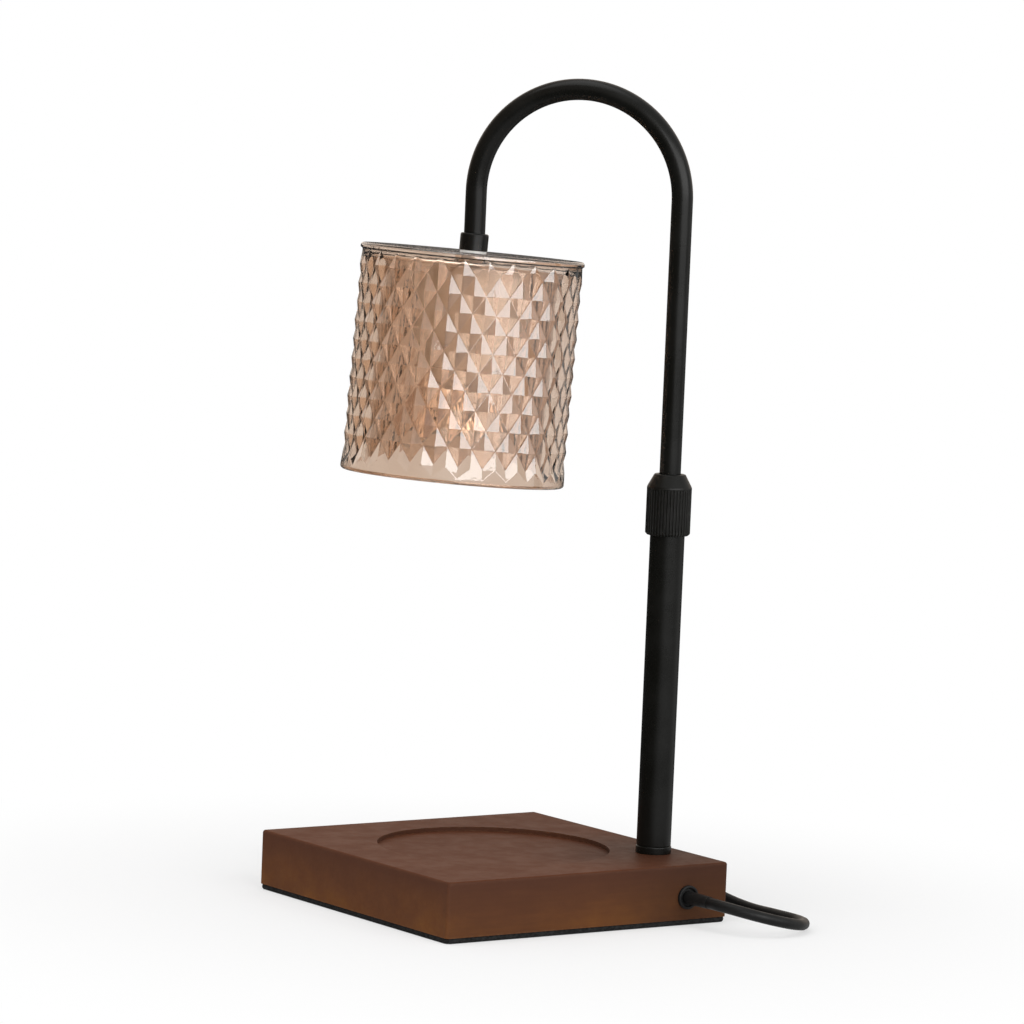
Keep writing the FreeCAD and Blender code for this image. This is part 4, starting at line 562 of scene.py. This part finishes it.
# %% [markdown]
# The reflector bulb. A pressed glass bowl widens from the ceramic neck to the front lens. The bowl's inside
# is a mirror with small pillows that mix the light, and the lens has shallow spokes. Both are turned outlines
# with a ripple added, because the ripples are what is seen from below.

# %% Reflector bulb
NECK_LEVEL, BOWL_RIM, LENS_FRONT = -61.4, -87.4, -90.0
BOWL_NECK, BOWL_MOUTH, BOWL_WALL, BOWL_LIP = 10.5, 25.0, 1.5, 23.8
PILLOWS_ROUND, PILLOWS_DEEP, PILLOW_HEIGHT = 24, 5, 0.22
LENS_RADIUS, LENS_DISH, SPOKE_HEIGHT, LENS_RINGS = 24.3, 0.5, 0.2, 16


def bowl_skin(steps=144, rows=36):
    """Bowl: radius grows with the 3/4 power of the depth; inside, cosines round and along it make pillows."""
    depth = np.linspace(0, 1, rows)
    radius = BOWL_NECK + (BOWL_MOUTH - BOWL_NECK) * depth ** 0.75
    level = NECK_LEVEL + (BOWL_RIM - NECK_LEVEL) * depth
    turn = np.arange(steps) * 2 * np.pi / steps
    along = np.cos(2 * np.pi * PILLOWS_DEEP * depth)
    pillow = PILLOW_HEIGHT * np.cos(PILLOWS_ROUND * turn)[None, :] * along[:, None]
    inner = revolved(np.stack([radius - BOWL_WALL, level], 1)[:-1], steps, pillow[:-1])
    outer = revolved(np.stack([radius, level], 1)[::-1], steps)
    rim = revolved(np.array([[BOWL_LIP, BOWL_RIM]]), steps)
    return np.concatenate([inner, rim, outer])


def lens_skin(steps=144):
    """Disc whose front drops towards its middle and is rippled by spokes that fade at the middle."""
    outward = np.linspace(0, 1, LENS_RINGS)
    front = np.stack([LENS_RADIUS * outward, LENS_FRONT + LENS_DISH * outward ** 2], 1)
    back = [[24.9, -89.1], [25.0, -88.6], [25.0, -87.6], [24.7, BOWL_RIM], [12.0, BOWL_RIM], [0, BOWL_RIM]]
    points = revolved(np.concatenate([front, back]), steps)
    turn = np.arange(steps) * 2 * np.pi / steps
    spokes = (SPOKE_HEIGHT * outward * (1 - outward ** 8))[:, None] * (1 + np.cos(PILLOWS_ROUND * turn))
    points[:LENS_RINGS, :, 2] += spokes
    return points


grid_piece("bulb_bowl", [placed(bowl_skin(), HEAD, HEAD_AXES)], "arm", "bulb_mirror", ["bulb_reflector"])
grid_piece("bulb_front", [placed(lens_skin(), HEAD, HEAD_AXES)], "arm", "bulb_lens_glass", ["bulb_lens"],
           close_rows=False)

# %% [markdown]
# The plug. It is moulded on the cord, narrow where the cord comes in and wider at the blades, with grooves
# for the fingers. Each slice across it is a squarish oval, so it is lofted from slices whose width follows
# the length.

# %% Moulded plug
PLUG_LENGTH, PLUG_HALF_WIDTH, PLUG_HALF_THICK = 26.0, 11.0, 6.8
PLUG_SQUARENESS = 3.4
SWELL_LENGTH = 9.0
GROOVES_FROM, GROOVES_TO, GROOVE_STEP, GROOVE_DEPTH = 8.0, 21.0, 2.6, 0.55


def plug_skin(steps=72):
    """Slices of |y/w|^3.4 + |z/t|^3.4 = 1; w and t ease up from the cord's end and dip in five grooves."""
    inner = np.linspace(0.4, 24.6, 90)
    ease = np.clip(inner / SWELL_LENGTH, 0, 1)
    swell = 0.66 + 0.34 * ease * ease * (3 - 2 * ease)
    wave = np.clip(np.sin(2 * np.pi * (inner - GROOVES_FROM) / GROOVE_STEP), 0, 1)
    groove = GROOVE_DEPTH * wave * ((inner > GROOVES_FROM) & (inner < GROOVES_TO))
    along = np.concatenate([[0, 0], inner, [25.3, 25.8, PLUG_LENGTH, PLUG_LENGTH]])
    size = np.concatenate([[0, 0.62], swell, [0.985, 0.955, 0.90, 0]])
    dip = np.concatenate([[0, 0], groove, [0, 0, 0, 0]])
    angle = np.arange(steps) * 2 * np.pi / steps
    power = 2 / PLUG_SQUARENESS
    wide = np.sign(np.cos(angle)) * abs(np.cos(angle)) ** power
    thick = np.sign(np.sin(angle)) * abs(np.sin(angle)) ** power
    across = np.clip(size * PLUG_HALF_WIDTH - dip, 0, None)[:, None] * wide
    level = np.clip(size * PLUG_HALF_THICK - dip, 0, None)[:, None] * thick
    return np.stack([np.broadcast_to(along[:, None], across.shape), across, level], -1)


grid_piece("moulded_plug", [placed(plug_skin(), PLUG, PLUG_AXES)], "base", "black_rubber", ["plug_body"],
           close_rows=False)

# %% [markdown]
# Finishes. Nothing real is one flat colour: stain pools, lacquer has a skin, edges wear, metal keeps the
# marks of its tool. Three effects come back in many finishes, so each is a node group with its own inputs:
# soft patches, a fine relief, and a mask of the edges, which is wear on the lacquer and, on the wood, wear
# together with a painted edge highlight. The groups only put out masks and normals; the shader stays in the
# material.

# %% Node helpers
def feed(tree, node, inputs):
    """Give each named input of a node its value, or link it to the socket that feeds it."""
    for name, value in inputs.items():
        if isinstance(value, bpy.types.NodeSocket):
            tree.links.new(value, node.inputs[name])
        else:
            node.inputs[name].default_value = value
    return node


def put(tree, kind, inputs=None, **settings):
    """New node of a kind, with its properties set and its inputs fed."""
    node = tree.nodes.new("ShaderNode" + kind)
    for name, setting in settings.items():
        setattr(node, name, setting)
    return feed(tree, node, inputs or {})


def mixed(tree, factor, first, second):
    """Colour between two colours by a mask."""
    return put(tree, "Mix", {0: factor, 6: first, 7: second}, data_type="RGBA").outputs[2]


def times(tree, first, second):
    """Product of two masks, or of a mask and a number."""
    return put(tree, "Math", {0: first, 1: second}, operation="MULTIPLY").outputs["Value"]


def ranged(tree, value, low, high, start=0.0, end=1.0, kind="LINEAR"):
    """Number that goes from low to high as the value goes from start to end."""
    limits = {"From Min": start, "From Max": end, "To Min": low, "To Max": high}
    return put(tree, "MapRange", {"Value": value, **limits}, interpolation_type=kind).outputs["Result"]


def dotted(tree, first, second):
    """How far two directions agree, from -1 to 1."""
    return put(tree, "VectorMath", {0: first, 1: second}, operation="DOT_PRODUCT").outputs["Value"]


print("node helpers: feed, put, mixed, times, ranged, dotted")

# %% Shared effect: soft patches
def new_group(name, inputs, output, output_kind):
    """Empty node group with named inputs (name, kind, value) and one output."""
    tree = bpy.data.node_groups.new(name, "ShaderNodeTree")
    for socket_name, kind, value in inputs:
        socket = tree.interface.new_socket(socket_name, in_out="INPUT", socket_type="NodeSocket" + kind)
        if value is not None:
            socket.default_value = value
    tree.interface.new_socket(output, in_out="OUTPUT", socket_type="NodeSocket" + output_kind)
    return tree, tree.nodes.new("NodeGroupInput").outputs, tree.nodes.new("NodeGroupOutput").inputs


patches, given, result = new_group("soft_patches", [("Vector", "Vector", None), ("Scale", "Float", 40.0),
                                                    ("Low", "Float", 0.35), ("High", "Float", 0.65)],
                                   "Mask", "Float")
cloud = put(patches, "TexNoise", {"Vector": given["Vector"], "Scale": given["Scale"], "Detail": 5.0,
                                  "Roughness": 0.6}).outputs["Fac"]
patches.links.new(ranged(patches, cloud, 0, 1, given["Low"], given["High"], "SMOOTHSTEP"), result["Mask"])
print("group:", patches.name)

# %% Shared effect: fine relief
relief, given, result = new_group("fine_relief", [("Vector", "Vector", None), ("Scale", "Float", 900.0),
                                                  ("Strength", "Float", 0.2), ("Depth", "Float", 0.0001)],
                                  "Normal", "Vector")
skin = put(relief, "TexNoise", {"Vector": given["Vector"], "Scale": given["Scale"], "Detail": 3.0,
                                "Roughness": 0.55})
raised = put(relief, "Bump", {"Strength": given["Strength"], "Distance": given["Depth"],
                              "Height": skin.outputs["Fac"]})
relief.links.new(raised.outputs["Normal"], result["Normal"])
print("group:", relief.name)

# %% Shared effect: worn edges, also used as a painted edge highlight
wear_and_highlight, given, result = new_group("worn_and_highlit_edges", [("Vector", "Vector", None), ("Radius", "Float", 0.0008),
                                               ("Amount", "Float", 0.5)], "Mask", "Float")
rounded_normal = put(wear_and_highlight, "Bevel", {"Radius": given["Radius"]}, samples=4).outputs["Normal"]
agreement = dotted(wear_and_highlight, rounded_normal, put(wear_and_highlight, "NewGeometry").outputs["Normal"])
edge = ranged(wear_and_highlight, agreement, 0, 1, 0.995, 0.86)
broken = put(wear_and_highlight, "TexNoise", {"Vector": given["Vector"], "Scale": 420.0, "Detail": 4.0, "Roughness": 0.7})
chips = ranged(wear_and_highlight, broken.outputs["Fac"], 0, 1, 0.42, 0.66)
wear_and_highlight.links.new(times(wear_and_highlight, times(wear_and_highlight, edge, chips), given["Amount"]), result["Mask"])
print("group:", wear_and_highlight.name)

# %% A material to start from
materials = {}


def new_finish(slot):
    """Material of a slot: its nodes, its shader, and Object coordinates, in metres from the lamp's origin."""
    materials[slot] = material = bpy.data.materials.new("finish_" + slot)
    material.use_nodes = True
    tree = material.node_tree
    print("finish:", slot)
    return tree, tree.nodes["Principled BSDF"], put(tree, "TexCoord").outputs["Object"]


def use(tree, group, **inputs):
    """A shared effect placed in a material; it gives back the effect's one output."""
    node = tree.nodes.new("ShaderNodeGroup")
    node.node_tree = group
    return feed(tree, node, inputs).outputs[0]


def stretched(tree, vector, scale):
    """Coordinates stretched by a Mapping node, so that a round pattern becomes lines."""
    return put(tree, "Mapping", {"Vector": vector, "Scale": scale}).outputs["Vector"]


print("effects to use:", patches.name, relief.name, wear_and_highlight.name)

# %% [markdown]
# Stained wood. The block is close-grained wood under a dark brown stain. These are seen: warm, yellower
# patches low on the sides, which grow darker towards the top; a reddish brown on top, the stain lightened by
# painted light from above, with a painted shadow and reflection of the post darkening it round the post; and
# very fine fibres that run along X. The mottle is a noise about ten millimetres across, and the warm patches
# are four times as large. The satin comes from a middling roughness. The edges are lighter: rubbed wood
# together with a painted edge highlight.

# %% Stained wood
SIDE_STAIN = (0.082, 0.0315, 0.0170, 1)
WARM_LOW_SIDE = (0.154, 0.0580, 0.0165, 1)
LIT_TOP_STAIN = (0.108, 0.0350, 0.0145, 1)
MOTTLE_STAIN = (0.070, 0.0255, 0.0150, 1)
FIBRE_STAIN = (0.050, 0.020, 0.012, 1)
RUBBED_AND_HIGHLIT_WOOD = (0.22, 0.115, 0.062, 1)
POST_SHADOW_AND_REFLECTION = (0.030, 0.0150, 0.0100, 1)
WOOD_SPECULAR = 0.062

tree, shader, place = new_finish("stained_wood")
fibre_place = stretched(tree, place, (0.09, 1.0, 1.0))
fibre = use(tree, patches, Vector=fibre_place, Scale=620.0, Low=0.3, High=0.72)
broad = use(tree, patches, Vector=stretched(tree, place, (0.6, 1.0, 1.6)), Scale=26.0, Low=0.36, High=0.64)
mottle = use(tree, patches, Vector=place, Scale=95.0, Low=0.3, High=0.7)
level = put(tree, "SeparateXYZ", {"Vector": place}).outputs["Z"]
# Warmer and yellower low on the sides, in broad patches; the sides grow darker towards the top.
warmth = times(tree, ranged(tree, level, 0, 1, 0.0245, 0.005), ranged(tree, broad, 0.45, 1))
upright = put(tree, "SeparateXYZ", {"Vector": put(tree, "TexCoord").outputs["Normal"]}).outputs["Z"]
from_post = put(tree, "VectorMath", {0: place, 1: tuple(v * MM for v in POST)}, operation="DISTANCE")
# Painted shadow and reflection of the post: the wood darkens within 70 mm of the post.
painted_post_shade = ranged(tree, from_post.outputs["Value"], 0, 0.62, 0.070, 0.020, "SMOOTHSTEP")

stain = mixed(tree, warmth, SIDE_STAIN, WARM_LOW_SIDE)
# The top, picked by its upward normal, gets a lighter, redder copy of the stain: painted light from above.
stain = mixed(tree, ranged(tree, upright, 0, 1, 0.6, 0.95), stain, LIT_TOP_STAIN)
stain = mixed(tree, times(tree, mottle, 0.20), stain, MOTTLE_STAIN)
stain = mixed(tree, times(tree, fibre, 0.16), stain, FIBRE_STAIN)
# Lighter edges: rubbed wood together with a painted edge highlight.
stain = mixed(tree, use(tree, wear_and_highlight, Vector=place, Radius=0.0012, Amount=0.5), stain, RUBBED_AND_HIGHLIT_WOOD)
stain = mixed(tree, painted_post_shade, stain, POST_SHADOW_AND_REFLECTION)
grain = use(tree, relief, Vector=fibre_place, Scale=700.0, Strength=0.18, Depth=0.00012)
feed(tree, shader, {"Base Color": stain, "Roughness": ranged(tree, mottle, 0.50, 0.60), "Normal": grain,
                    "Specular IOR Level": WOOD_SPECULAR})

# %% [markdown]
# Black lacquer. Sprayed on steel and baked, it has a low sheen, the faintest orange peel and a few specks of
# dust, and on sharp edges it is thin and a little lighter. It is nearly black, so almost all that is seen is
# the sheen.

# %% Black lacquer
BLACK_SPECULAR = 0.16
DEEP_BLACK, SOFT_BLACK = (0.0036, 0.0036, 0.0028, 1), (0.0052, 0.0052, 0.0045, 1)
DUST_GREY, THIN_PAINT = (0.03, 0.03, 0.028, 1), (0.06, 0.058, 0.052, 1)
# slot: scale of the orange peel, roughness from, roughness to
LACQUERS = {"black_lacquer": (420.0, 0.24, 0.32), "black_lacquer_collar": (700.0, 0.34, 0.46)}
for slot, (peel, gloss_low, gloss_high) in LACQUERS.items():
    tree, shader, place = new_finish(slot)
    cloudy = use(tree, patches, Vector=place, Scale=60.0, Low=0.3, High=0.7)
    dust = use(tree, patches, Vector=place, Scale=900.0, Low=0.60, High=0.74)
    rubbed = use(tree, wear_and_highlight, Vector=place, Radius=0.0005, Amount=0.35)
    paint = mixed(tree, cloudy, DEEP_BLACK, SOFT_BLACK)
    paint = mixed(tree, times(tree, dust, 0.12), paint, DUST_GREY)
    paint = mixed(tree, rubbed, paint, THIN_PAINT)
    feed(tree, shader, {"Base Color": paint, "Roughness": ranged(tree, cloudy, gloss_low, gloss_high),
                        "Specular IOR Level": BLACK_SPECULAR,
                        "Normal": use(tree, relief, Vector=place, Scale=peel, Strength=0.10, Depth=0.0002)})

# %% [markdown]
# Amber glass. It is clear glass with a tint in the melt and a thin lustre outside, which makes its faces
# silvery where they mirror a lamp. The tint is set once for each wall that the light goes through, so light
# that crosses the whole shade is tinted twice. Faint waves in the normal stand for the marks of the mould.

# %% Amber glass
PALE_AMBER, DEEP_AMBER = (0.680, 0.530, 0.425, 1), (0.630, 0.475, 0.370, 1)
SHADE_IOR, LUSTRE_IOR, LUSTRE = 1.53, 1.7, 0.5

tree, shader, place = new_finish("amber_glass")
streaks = use(tree, patches, Vector=stretched(tree, place, (1.0, 1.0, 0.35)), Scale=30.0, Low=0.3, High=0.7)
feed(tree, shader, {"Base Color": mixed(tree, streaks, PALE_AMBER, DEEP_AMBER),
                    "Roughness": ranged(tree, streaks, 0.015, 0.045),
                    "Normal": use(tree, relief, Vector=place, Scale=170.0, Strength=0.10, Depth=0.0009),
                    "Transmission Weight": 1.0, "IOR": SHADE_IOR,
                    "Coat Weight": LUSTRE, "Coat IOR": LUSTRE_IOR, "Coat Roughness": 0.05})

# %% [markdown]
# Clear glass of the bulb: its front lens and the capsule inside. It is colourless with a faint haze, which a
# noise gives to its tint and its roughness. A thin-walled shader would be quicker, but these are solid pieces
# of glass.

# %% Clear glass of the bulb
CLEAR_TINTS = {"bulb_lens_glass": (0.97, 0.96, 0.94, 1), "capsule_glass": (0.96, 0.95, 0.95, 1)}
HAZE_TINT = (0.90, 0.89, 0.86, 1)
BULB_IOR = 1.48
for slot, tint in CLEAR_TINTS.items():
    tree, shader, place = new_finish(slot)
    haze = use(tree, patches, Vector=place, Scale=80.0, Low=0.3, High=0.75)
    feed(tree, shader, {"Base Color": mixed(tree, haze, tint, HAZE_TINT),
                        "Roughness": ranged(tree, haze, 0.02, 0.12),
                        "Normal": use(tree, relief, Vector=place, Scale=240.0, Strength=0.1, Depth=0.0003),
                        "Transmission Weight": 1.0, "IOR": BULB_IOR})

# %% [markdown]
# The plainer finishes share one recipe: two near colours mixed in patches, a roughness that follows the same
# patches, and a fine relief, stretched into lines where a tool or a mill left its marks. The first table
# gives each finish its numbers. The others say which are stretched, which have a deeper relief and which are
# blacks with weak highlights. The bulb's mirror is among them: metal vapour on glass is a metal with a
# slightly cloudy roughness.

# %% Plainer finishes: tables
# slot: light colour, dark colour, metallic, roughness from and to, patch scale, relief scale and strength
PLAINER = {
    "black_foam": ((0.020, 0.020, 0.020), (0.006, 0.006, 0.006), 0, 0.85, 0.98, 900, 1500, 0.8),
    "steel_plate": ((0.40, 0.40, 0.41), (0.26, 0.26, 0.28), 1, 0.35, 0.55, 70, 900, 0.25),
    "plated_steel": ((0.64, 0.64, 0.62), (0.50, 0.51, 0.54), 1, 0.25, 0.40, 260, 1600, 0.12),
    "brass_thread": ((0.78, 0.57, 0.26), (0.62, 0.43, 0.18), 1, 0.22, 0.38, 240, 2200, 0.2),
    "contact_brass": ((0.80, 0.60, 0.30), (0.60, 0.43, 0.20), 1, 0.25, 0.45, 300, 1500, 0.12),
    "nylon": ((0.84, 0.83, 0.78), (0.76, 0.74, 0.68), 0, 0.38, 0.52, 140, 1800, 0.08),
    "silicone": ((0.78, 0.78, 0.76), (0.68, 0.68, 0.66), 0, 0.42, 0.60, 160, 1500, 0.08),
    "socket_cover_metal": ((0.74, 0.71, 0.65), (0.66, 0.63, 0.57), 0, 0.30, 0.42, 70, 600, 0.08),
    "white_ceramic": ((0.84, 0.82, 0.78), (0.76, 0.73, 0.68), 0, 0.18, 0.34, 110, 500, 0.07),
    "bulb_mirror": ((0.88, 0.87, 0.85), (0.78, 0.76, 0.73), 1, 0.05, 0.14, 90, 700, 0.05),
    "lead_sheath": ((0.10, 0.10, 0.10), (0.07, 0.07, 0.07), 0, 0.40, 0.55, 200, 1800, 0.12),
    "black_cord": ((0.008, 0.008, 0.008), (0.005, 0.005, 0.005), 0, 0.38, 0.50, 150, 1500, 0.14),
    "black_rubber": ((0.010, 0.010, 0.010), (0.006, 0.006, 0.006), 0, 0.40, 0.56, 180, 1700, 0.2),
    "black_shell": ((0.016, 0.016, 0.017), (0.010, 0.010, 0.011), 0, 0.42, 0.56, 120, 2400, 0.45),
    "circuit_board": ((0.03, 0.20, 0.08), (0.015, 0.11, 0.045), 0, 0.25, 0.50, 420, 900, 0.1),
    "control_case": ((0.10, 0.10, 0.12), (0.06, 0.06, 0.08), 0, 0.35, 0.50, 200, 1600, 0.2),
    "wheel_plastic": ((0.032, 0.032, 0.033), (0.020, 0.020, 0.021), 0, 0.38, 0.52, 160, 2200, 0.3),
    "blade_metal": ((0.80, 0.78, 0.73), (0.68, 0.66, 0.62), 1, 0.18, 0.32, 300, 1800, 0.12),
}
DRAWN = {"steel_plate": (0.1, 1, 1), "plated_steel": (1, 1, 0.2), "brass_thread": (0.15, 0.15, 1),
         "contact_brass": (1, 1, 0.2), "circuit_board": (1, 0.25, 1), "blade_metal": (0.3, 0.3, 1)}
DEEP_RELIEF = {"black_foam": 0.0004, "socket_cover_metal": 0.0002, "white_ceramic": 0.0002}
PLAIN_RELIEF = 0.0001
DULL_BLACKS = ("black_foam", "black_cord", "black_rubber", "black_shell", "wheel_plastic")
print("plainer finishes:", len(PLAINER))

# %% Plainer finishes: materials
for slot, (light, dark, metal, rough_low, rough_high, size, grit, strength) in PLAINER.items():
    tree, shader, place = new_finish(slot)
    drawn = stretched(tree, place, DRAWN.get(slot, (1, 1, 1)))
    mask = use(tree, patches, Vector=drawn, Scale=float(size), Low=0.32, High=0.68)
    marks = use(tree, relief, Vector=drawn, Scale=float(grit), Strength=strength,
                Depth=DEEP_RELIEF.get(slot, PLAIN_RELIEF))
    feed(tree, shader, {"Base Color": mixed(tree, mask, light + (1,), dark + (1,)),
                        "Roughness": ranged(tree, mask, rough_low, rough_high), "Metallic": metal,
                        "Normal": marks})
    if slot in DULL_BLACKS:
        shader.inputs["Specular IOR Level"].default_value = BLACK_SPECULAR

# %% [markdown]
# The tie round the coil is a woven band. Two sets of fine waves, one along the band's width and one round it,
# cross like threads; their product is the weave's height, and it also paints shade into the gaps.

# %% Woven tie
tree, shader, place = new_finish("tie_band")
threads = {"Vector": place, "Scale": 260.0, "Distortion": 0.6}
warp = put(tree, "TexWave", threads, bands_direction="Z")
weft = put(tree, "TexWave", threads, bands_direction="DIAGONAL")
weave = times(tree, warp.outputs["Fac"], weft.outputs["Fac"])
woven = put(tree, "Bump", {"Strength": 0.6, "Distance": 0.0003, "Height": weave})
# Darker where the weave is low: painted shade in the gaps between threads.
feed(tree, shader, {"Base Color": mixed(tree, weave, (0.008, 0.008, 0.008, 1), (0.030, 0.030, 0.031, 1)),
                    "Roughness": ranged(tree, weave, 0.95, 0.75), "Normal": woven.outputs["Normal"]})
print("finishes:", len(materials))

# %% [markdown]
# Each finish goes on its pieces. New pieces take it by the slot they were given. A CAD piece that stays has a
# material slot of the same name, so only what the slot holds is changed and the mesh is left alone.

# %% Put each finish on its pieces
for slot, pieces in finishes.items():
    for made in pieces:
        made.data.materials.append(materials[slot])
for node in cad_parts.values():
    for holder in node.material_slots:
        holder.material = materials[holder.material.name.split(".")[0]]
print("new pieces dressed:", sum(len(pieces) for pieces in finishes.values()))

# %% [markdown]
# The mains cord's finish goes on the curve itself, and the curve rides on the base in place of the CAD cord
# pieces.

# %% Cord: finish and ride
cord.data.materials.append(materials["black_cord"])
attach(cord, "base")
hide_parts("cord_to_dimmer", "cord_to_coil", "cord_coil", "cord_to_plug")
print("cord declared:", cord.name)

# %% [markdown]
# Lamps. A large soft key stands above and to the right of the camera, a wide dim fill to its left and a small
# one overhead. The key and the fill are hidden from reflections. The card does the opposite: it lights no
# matt surface and is there to be mirrored, so it makes the facets flash and draws the line on the post. A
# lamp's brightness is given as radiance, so that its size can change without its look.

# %% Lamps
CAMERA_RIGHT = CAMERA_AIM.cross(Vector((0, 0, 1))).normalized()
TOWARDS_CAMERA = Vector((-CAMERA_AIM.x, -CAMERA_AIM.y, 0)).normalized()
MIDDLE = Vector((0.02, 0.0, 0.2))


def soft_lamp(name, aside, up, distance, size, radiance):
    """Area lamp aimed at the lamp's middle, turned aside from the camera and up by degrees."""
    level_way = TOWARDS_CAMERA * math.cos(math.radians(aside)) + CAMERA_RIGHT * math.sin(math.radians(aside))
    way = level_way * math.cos(math.radians(up)) + Vector((0, 0, math.sin(math.radians(up))))
    lamp = bpy.data.lights.new(name, "AREA")
    lamp.shape = "RECTANGLE"
    lamp.size, lamp.size_y = size
    lamp.energy = radiance * math.pi * size[0] * size[1]
    stand = bpy.data.objects.new(name, lamp)
    bpy.context.scene.collection.objects.link(stand)
    stand.location = MIDDLE + way * distance
    stand.rotation_mode = "QUATERNION"
    stand.rotation_quaternion = (-way).to_track_quat("-Z", "Y")
    print(name, "lamp:", round(lamp.energy, 1), "W")
    return stand


key = soft_lamp("key", aside=36, up=23, distance=1.7, size=(1.5, 1.1), radiance=2.6)
key.visible_glossy = False
card = soft_lamp("card", aside=35, up=16, distance=1.7, size=(2.2, 0.85), radiance=4.9)
card.visible_diffuse = False
fill = soft_lamp("fill", aside=-50, up=25, distance=2.6, size=(2.4, 2.4), radiance=1.3)
fill.visible_glossy = False
soft_lamp("top", aside=-60, up=74, distance=1.2, size=(0.9, 0.9), radiance=2.0)

# %% [markdown]
# The world. It gives an even grey light, and the camera sees it white. Mirrors and glass see a studio
# instead: white overhead and to the right, warmer and darker on the left, and, in mirrors, a pale beige
# straight ahead. Those directions are fixed in the room, so the studio stays where it is when the camera goes
# round the lamp.

# %% Studio as mirrors and glass see it
def towards(tree, way, aim, start, end):
    """Mask that rises as a direction turns towards an aim; start and end are cosines of the angle between."""
    return ranged(tree, dotted(tree, way, tuple(aim)), 0, 1, start, end, "SMOOTHSTEP")


def studio_seen(tree, rays, way, side, shade_side, light_side, onward, inside):
    """Colour by direction: from side to side, then onward for what lies ahead, then inside after glass."""
    seen = mixed(tree, side, shade_side, light_side)
    seen = mixed(tree, towards(tree, way, CAMERA_AIM, 0.2, 0.9), seen, onward)
    after_glass = put(tree, "Math", {0: rays["Transmission Depth"], 1: 0.5}, operation="GREATER_THAN")
    return mixed(tree, after_glass.outputs["Value"], seen, inside)


print("the studio's light side is towards", [round(v, 2) for v in CAMERA_RIGHT])

# %% World
WHITE = (1.0, 1.0, 1.0, 1)
ROOM_LIGHT = (0.42, 0.42, 0.42, 1)
world = bpy.data.worlds.new("studio")
bpy.context.scene.world = world
world.use_nodes = True
tree = world.node_tree
tree.nodes.clear()
way = put(tree, "TexCoord").outputs["Generated"]
rays = put(tree, "LightPath").outputs
side = towards(tree, way, CAMERA_RIGHT, -0.75, 0.15)
mirrored = studio_seen(tree, rays, way, side, shade_side=(0.30, 0.23, 0.18, 1), light_side=WHITE,
                       onward=(0.92, 0.80, 0.70, 1), inside=(0.90, 0.78, 0.68, 1))
through = mixed(tree, side, (0.80, 0.60, 0.45, 1), WHITE)
light = mixed(tree, rays["Is Glossy Ray"], ROOM_LIGHT, mirrored)
light = mixed(tree, rays["Is Transmission Ray"], light, through)
seen = mixed(tree, rays["Is Camera Ray"], light, WHITE)
background = put(tree, "Background", {"Color": seen, "Strength": 1.0})
put(tree, "OutputWorld", {"Surface": background.outputs["Background"]})
print("world nodes:", len(tree.nodes))

# %% [markdown]
# The floor. Round the lamp, where the shadow falls, it is half pale paper and half a white glow, and further
# out the glow takes over, so that no edge of the floor is seen. Only camera, glass and mirror rays see the
# glow, so it lights nothing.

# %% Floor
FLOOR_RINGS = np.array([0.0, 0.2, 0.5, 1.0, 3.0, 12.0, 60.0]) / MM
FLOOR_LEVEL = -0.05
FADE_FROM, FADE_TO = 0.08, 0.34
floor_outline = np.stack([FLOOR_RINGS[::-1], np.full(len(FLOOR_RINGS), FLOOR_LEVEL)], 1)
floor_points, floor_faces = joined([revolved(floor_outline, 72)], close_rows=False)
floor_mesh = bpy.data.meshes.new("floor")
floor_mesh.from_pydata((floor_points * MM).tolist(), [], floor_faces)
floor = bpy.data.objects.new("floor", floor_mesh)
bpy.context.scene.collection.objects.link(floor)
print("floor faces:", len(floor_faces))

# %% Floor finish
floor_finish = bpy.data.materials.new("pale_floor")
floor_finish.use_nodes = True
tree = floor_finish.node_tree
shader = tree.nodes["Principled BSDF"]
place = put(tree, "TexCoord").outputs["Object"]
rays = put(tree, "LightPath").outputs
paper = put(tree, "TexNoise", {"Vector": place, "Scale": 400.0, "Detail": 3.0}).outputs["Fac"]
feed(tree, shader, {"Base Color": mixed(tree, paper, (0.93, 0.93, 0.93, 1), (0.90, 0.90, 0.90, 1)),
                    "Roughness": 0.9, "Specular IOR Level": 0.1})
outwards = put(tree, "VectorMath", {0: place}, operation="NORMALIZE").outputs["Vector"]
side = towards(tree, outwards, CAMERA_RIGHT, -0.42, 0.22)
mirrored = studio_seen(tree, rays, outwards, side, shade_side=(0.05, 0.05, 0.045, 1),
                       light_side=(0.76, 0.76, 0.76, 1), onward=(0.05, 0.05, 0.05, 1),
                       inside=(0.9, 0.86, 0.82, 1))
glow = mixed(tree, rays["Is Glossy Ray"], WHITE, mirrored)
seen = put(tree, "Math", {0: rays["Is Camera Ray"], 1: rays["Is Transmission Ray"]}, operation="MAXIMUM")
seen = put(tree, "Math", {0: seen.outputs["Value"], 1: rays["Is Glossy Ray"]}, operation="MAXIMUM")
far = put(tree, "VectorMath", {0: place}, operation="LENGTH").outputs["Value"]
amount = times(tree, ranged(tree, far, 0.5, 1, FADE_FROM, FADE_TO, "SMOOTHSTEP"), seen.outputs["Value"])
white = put(tree, "Emission", {"Color": glow, "Strength": 1.0}).outputs["Emission"]
blend = put(tree, "MixShader", {0: amount, 1: shader.outputs["BSDF"], 2: white})
feed(tree, tree.nodes["Material Output"], {"Surface": blend.outputs["Shader"]})
floor.data.materials.append(floor_finish)
print("floor finish nodes:", len(tree.nodes))

# %% [markdown]
# The end. Colours are shown as they are, without a film look.

# %% Close
bpy.context.scene.view_settings.view_transform = "Standard"
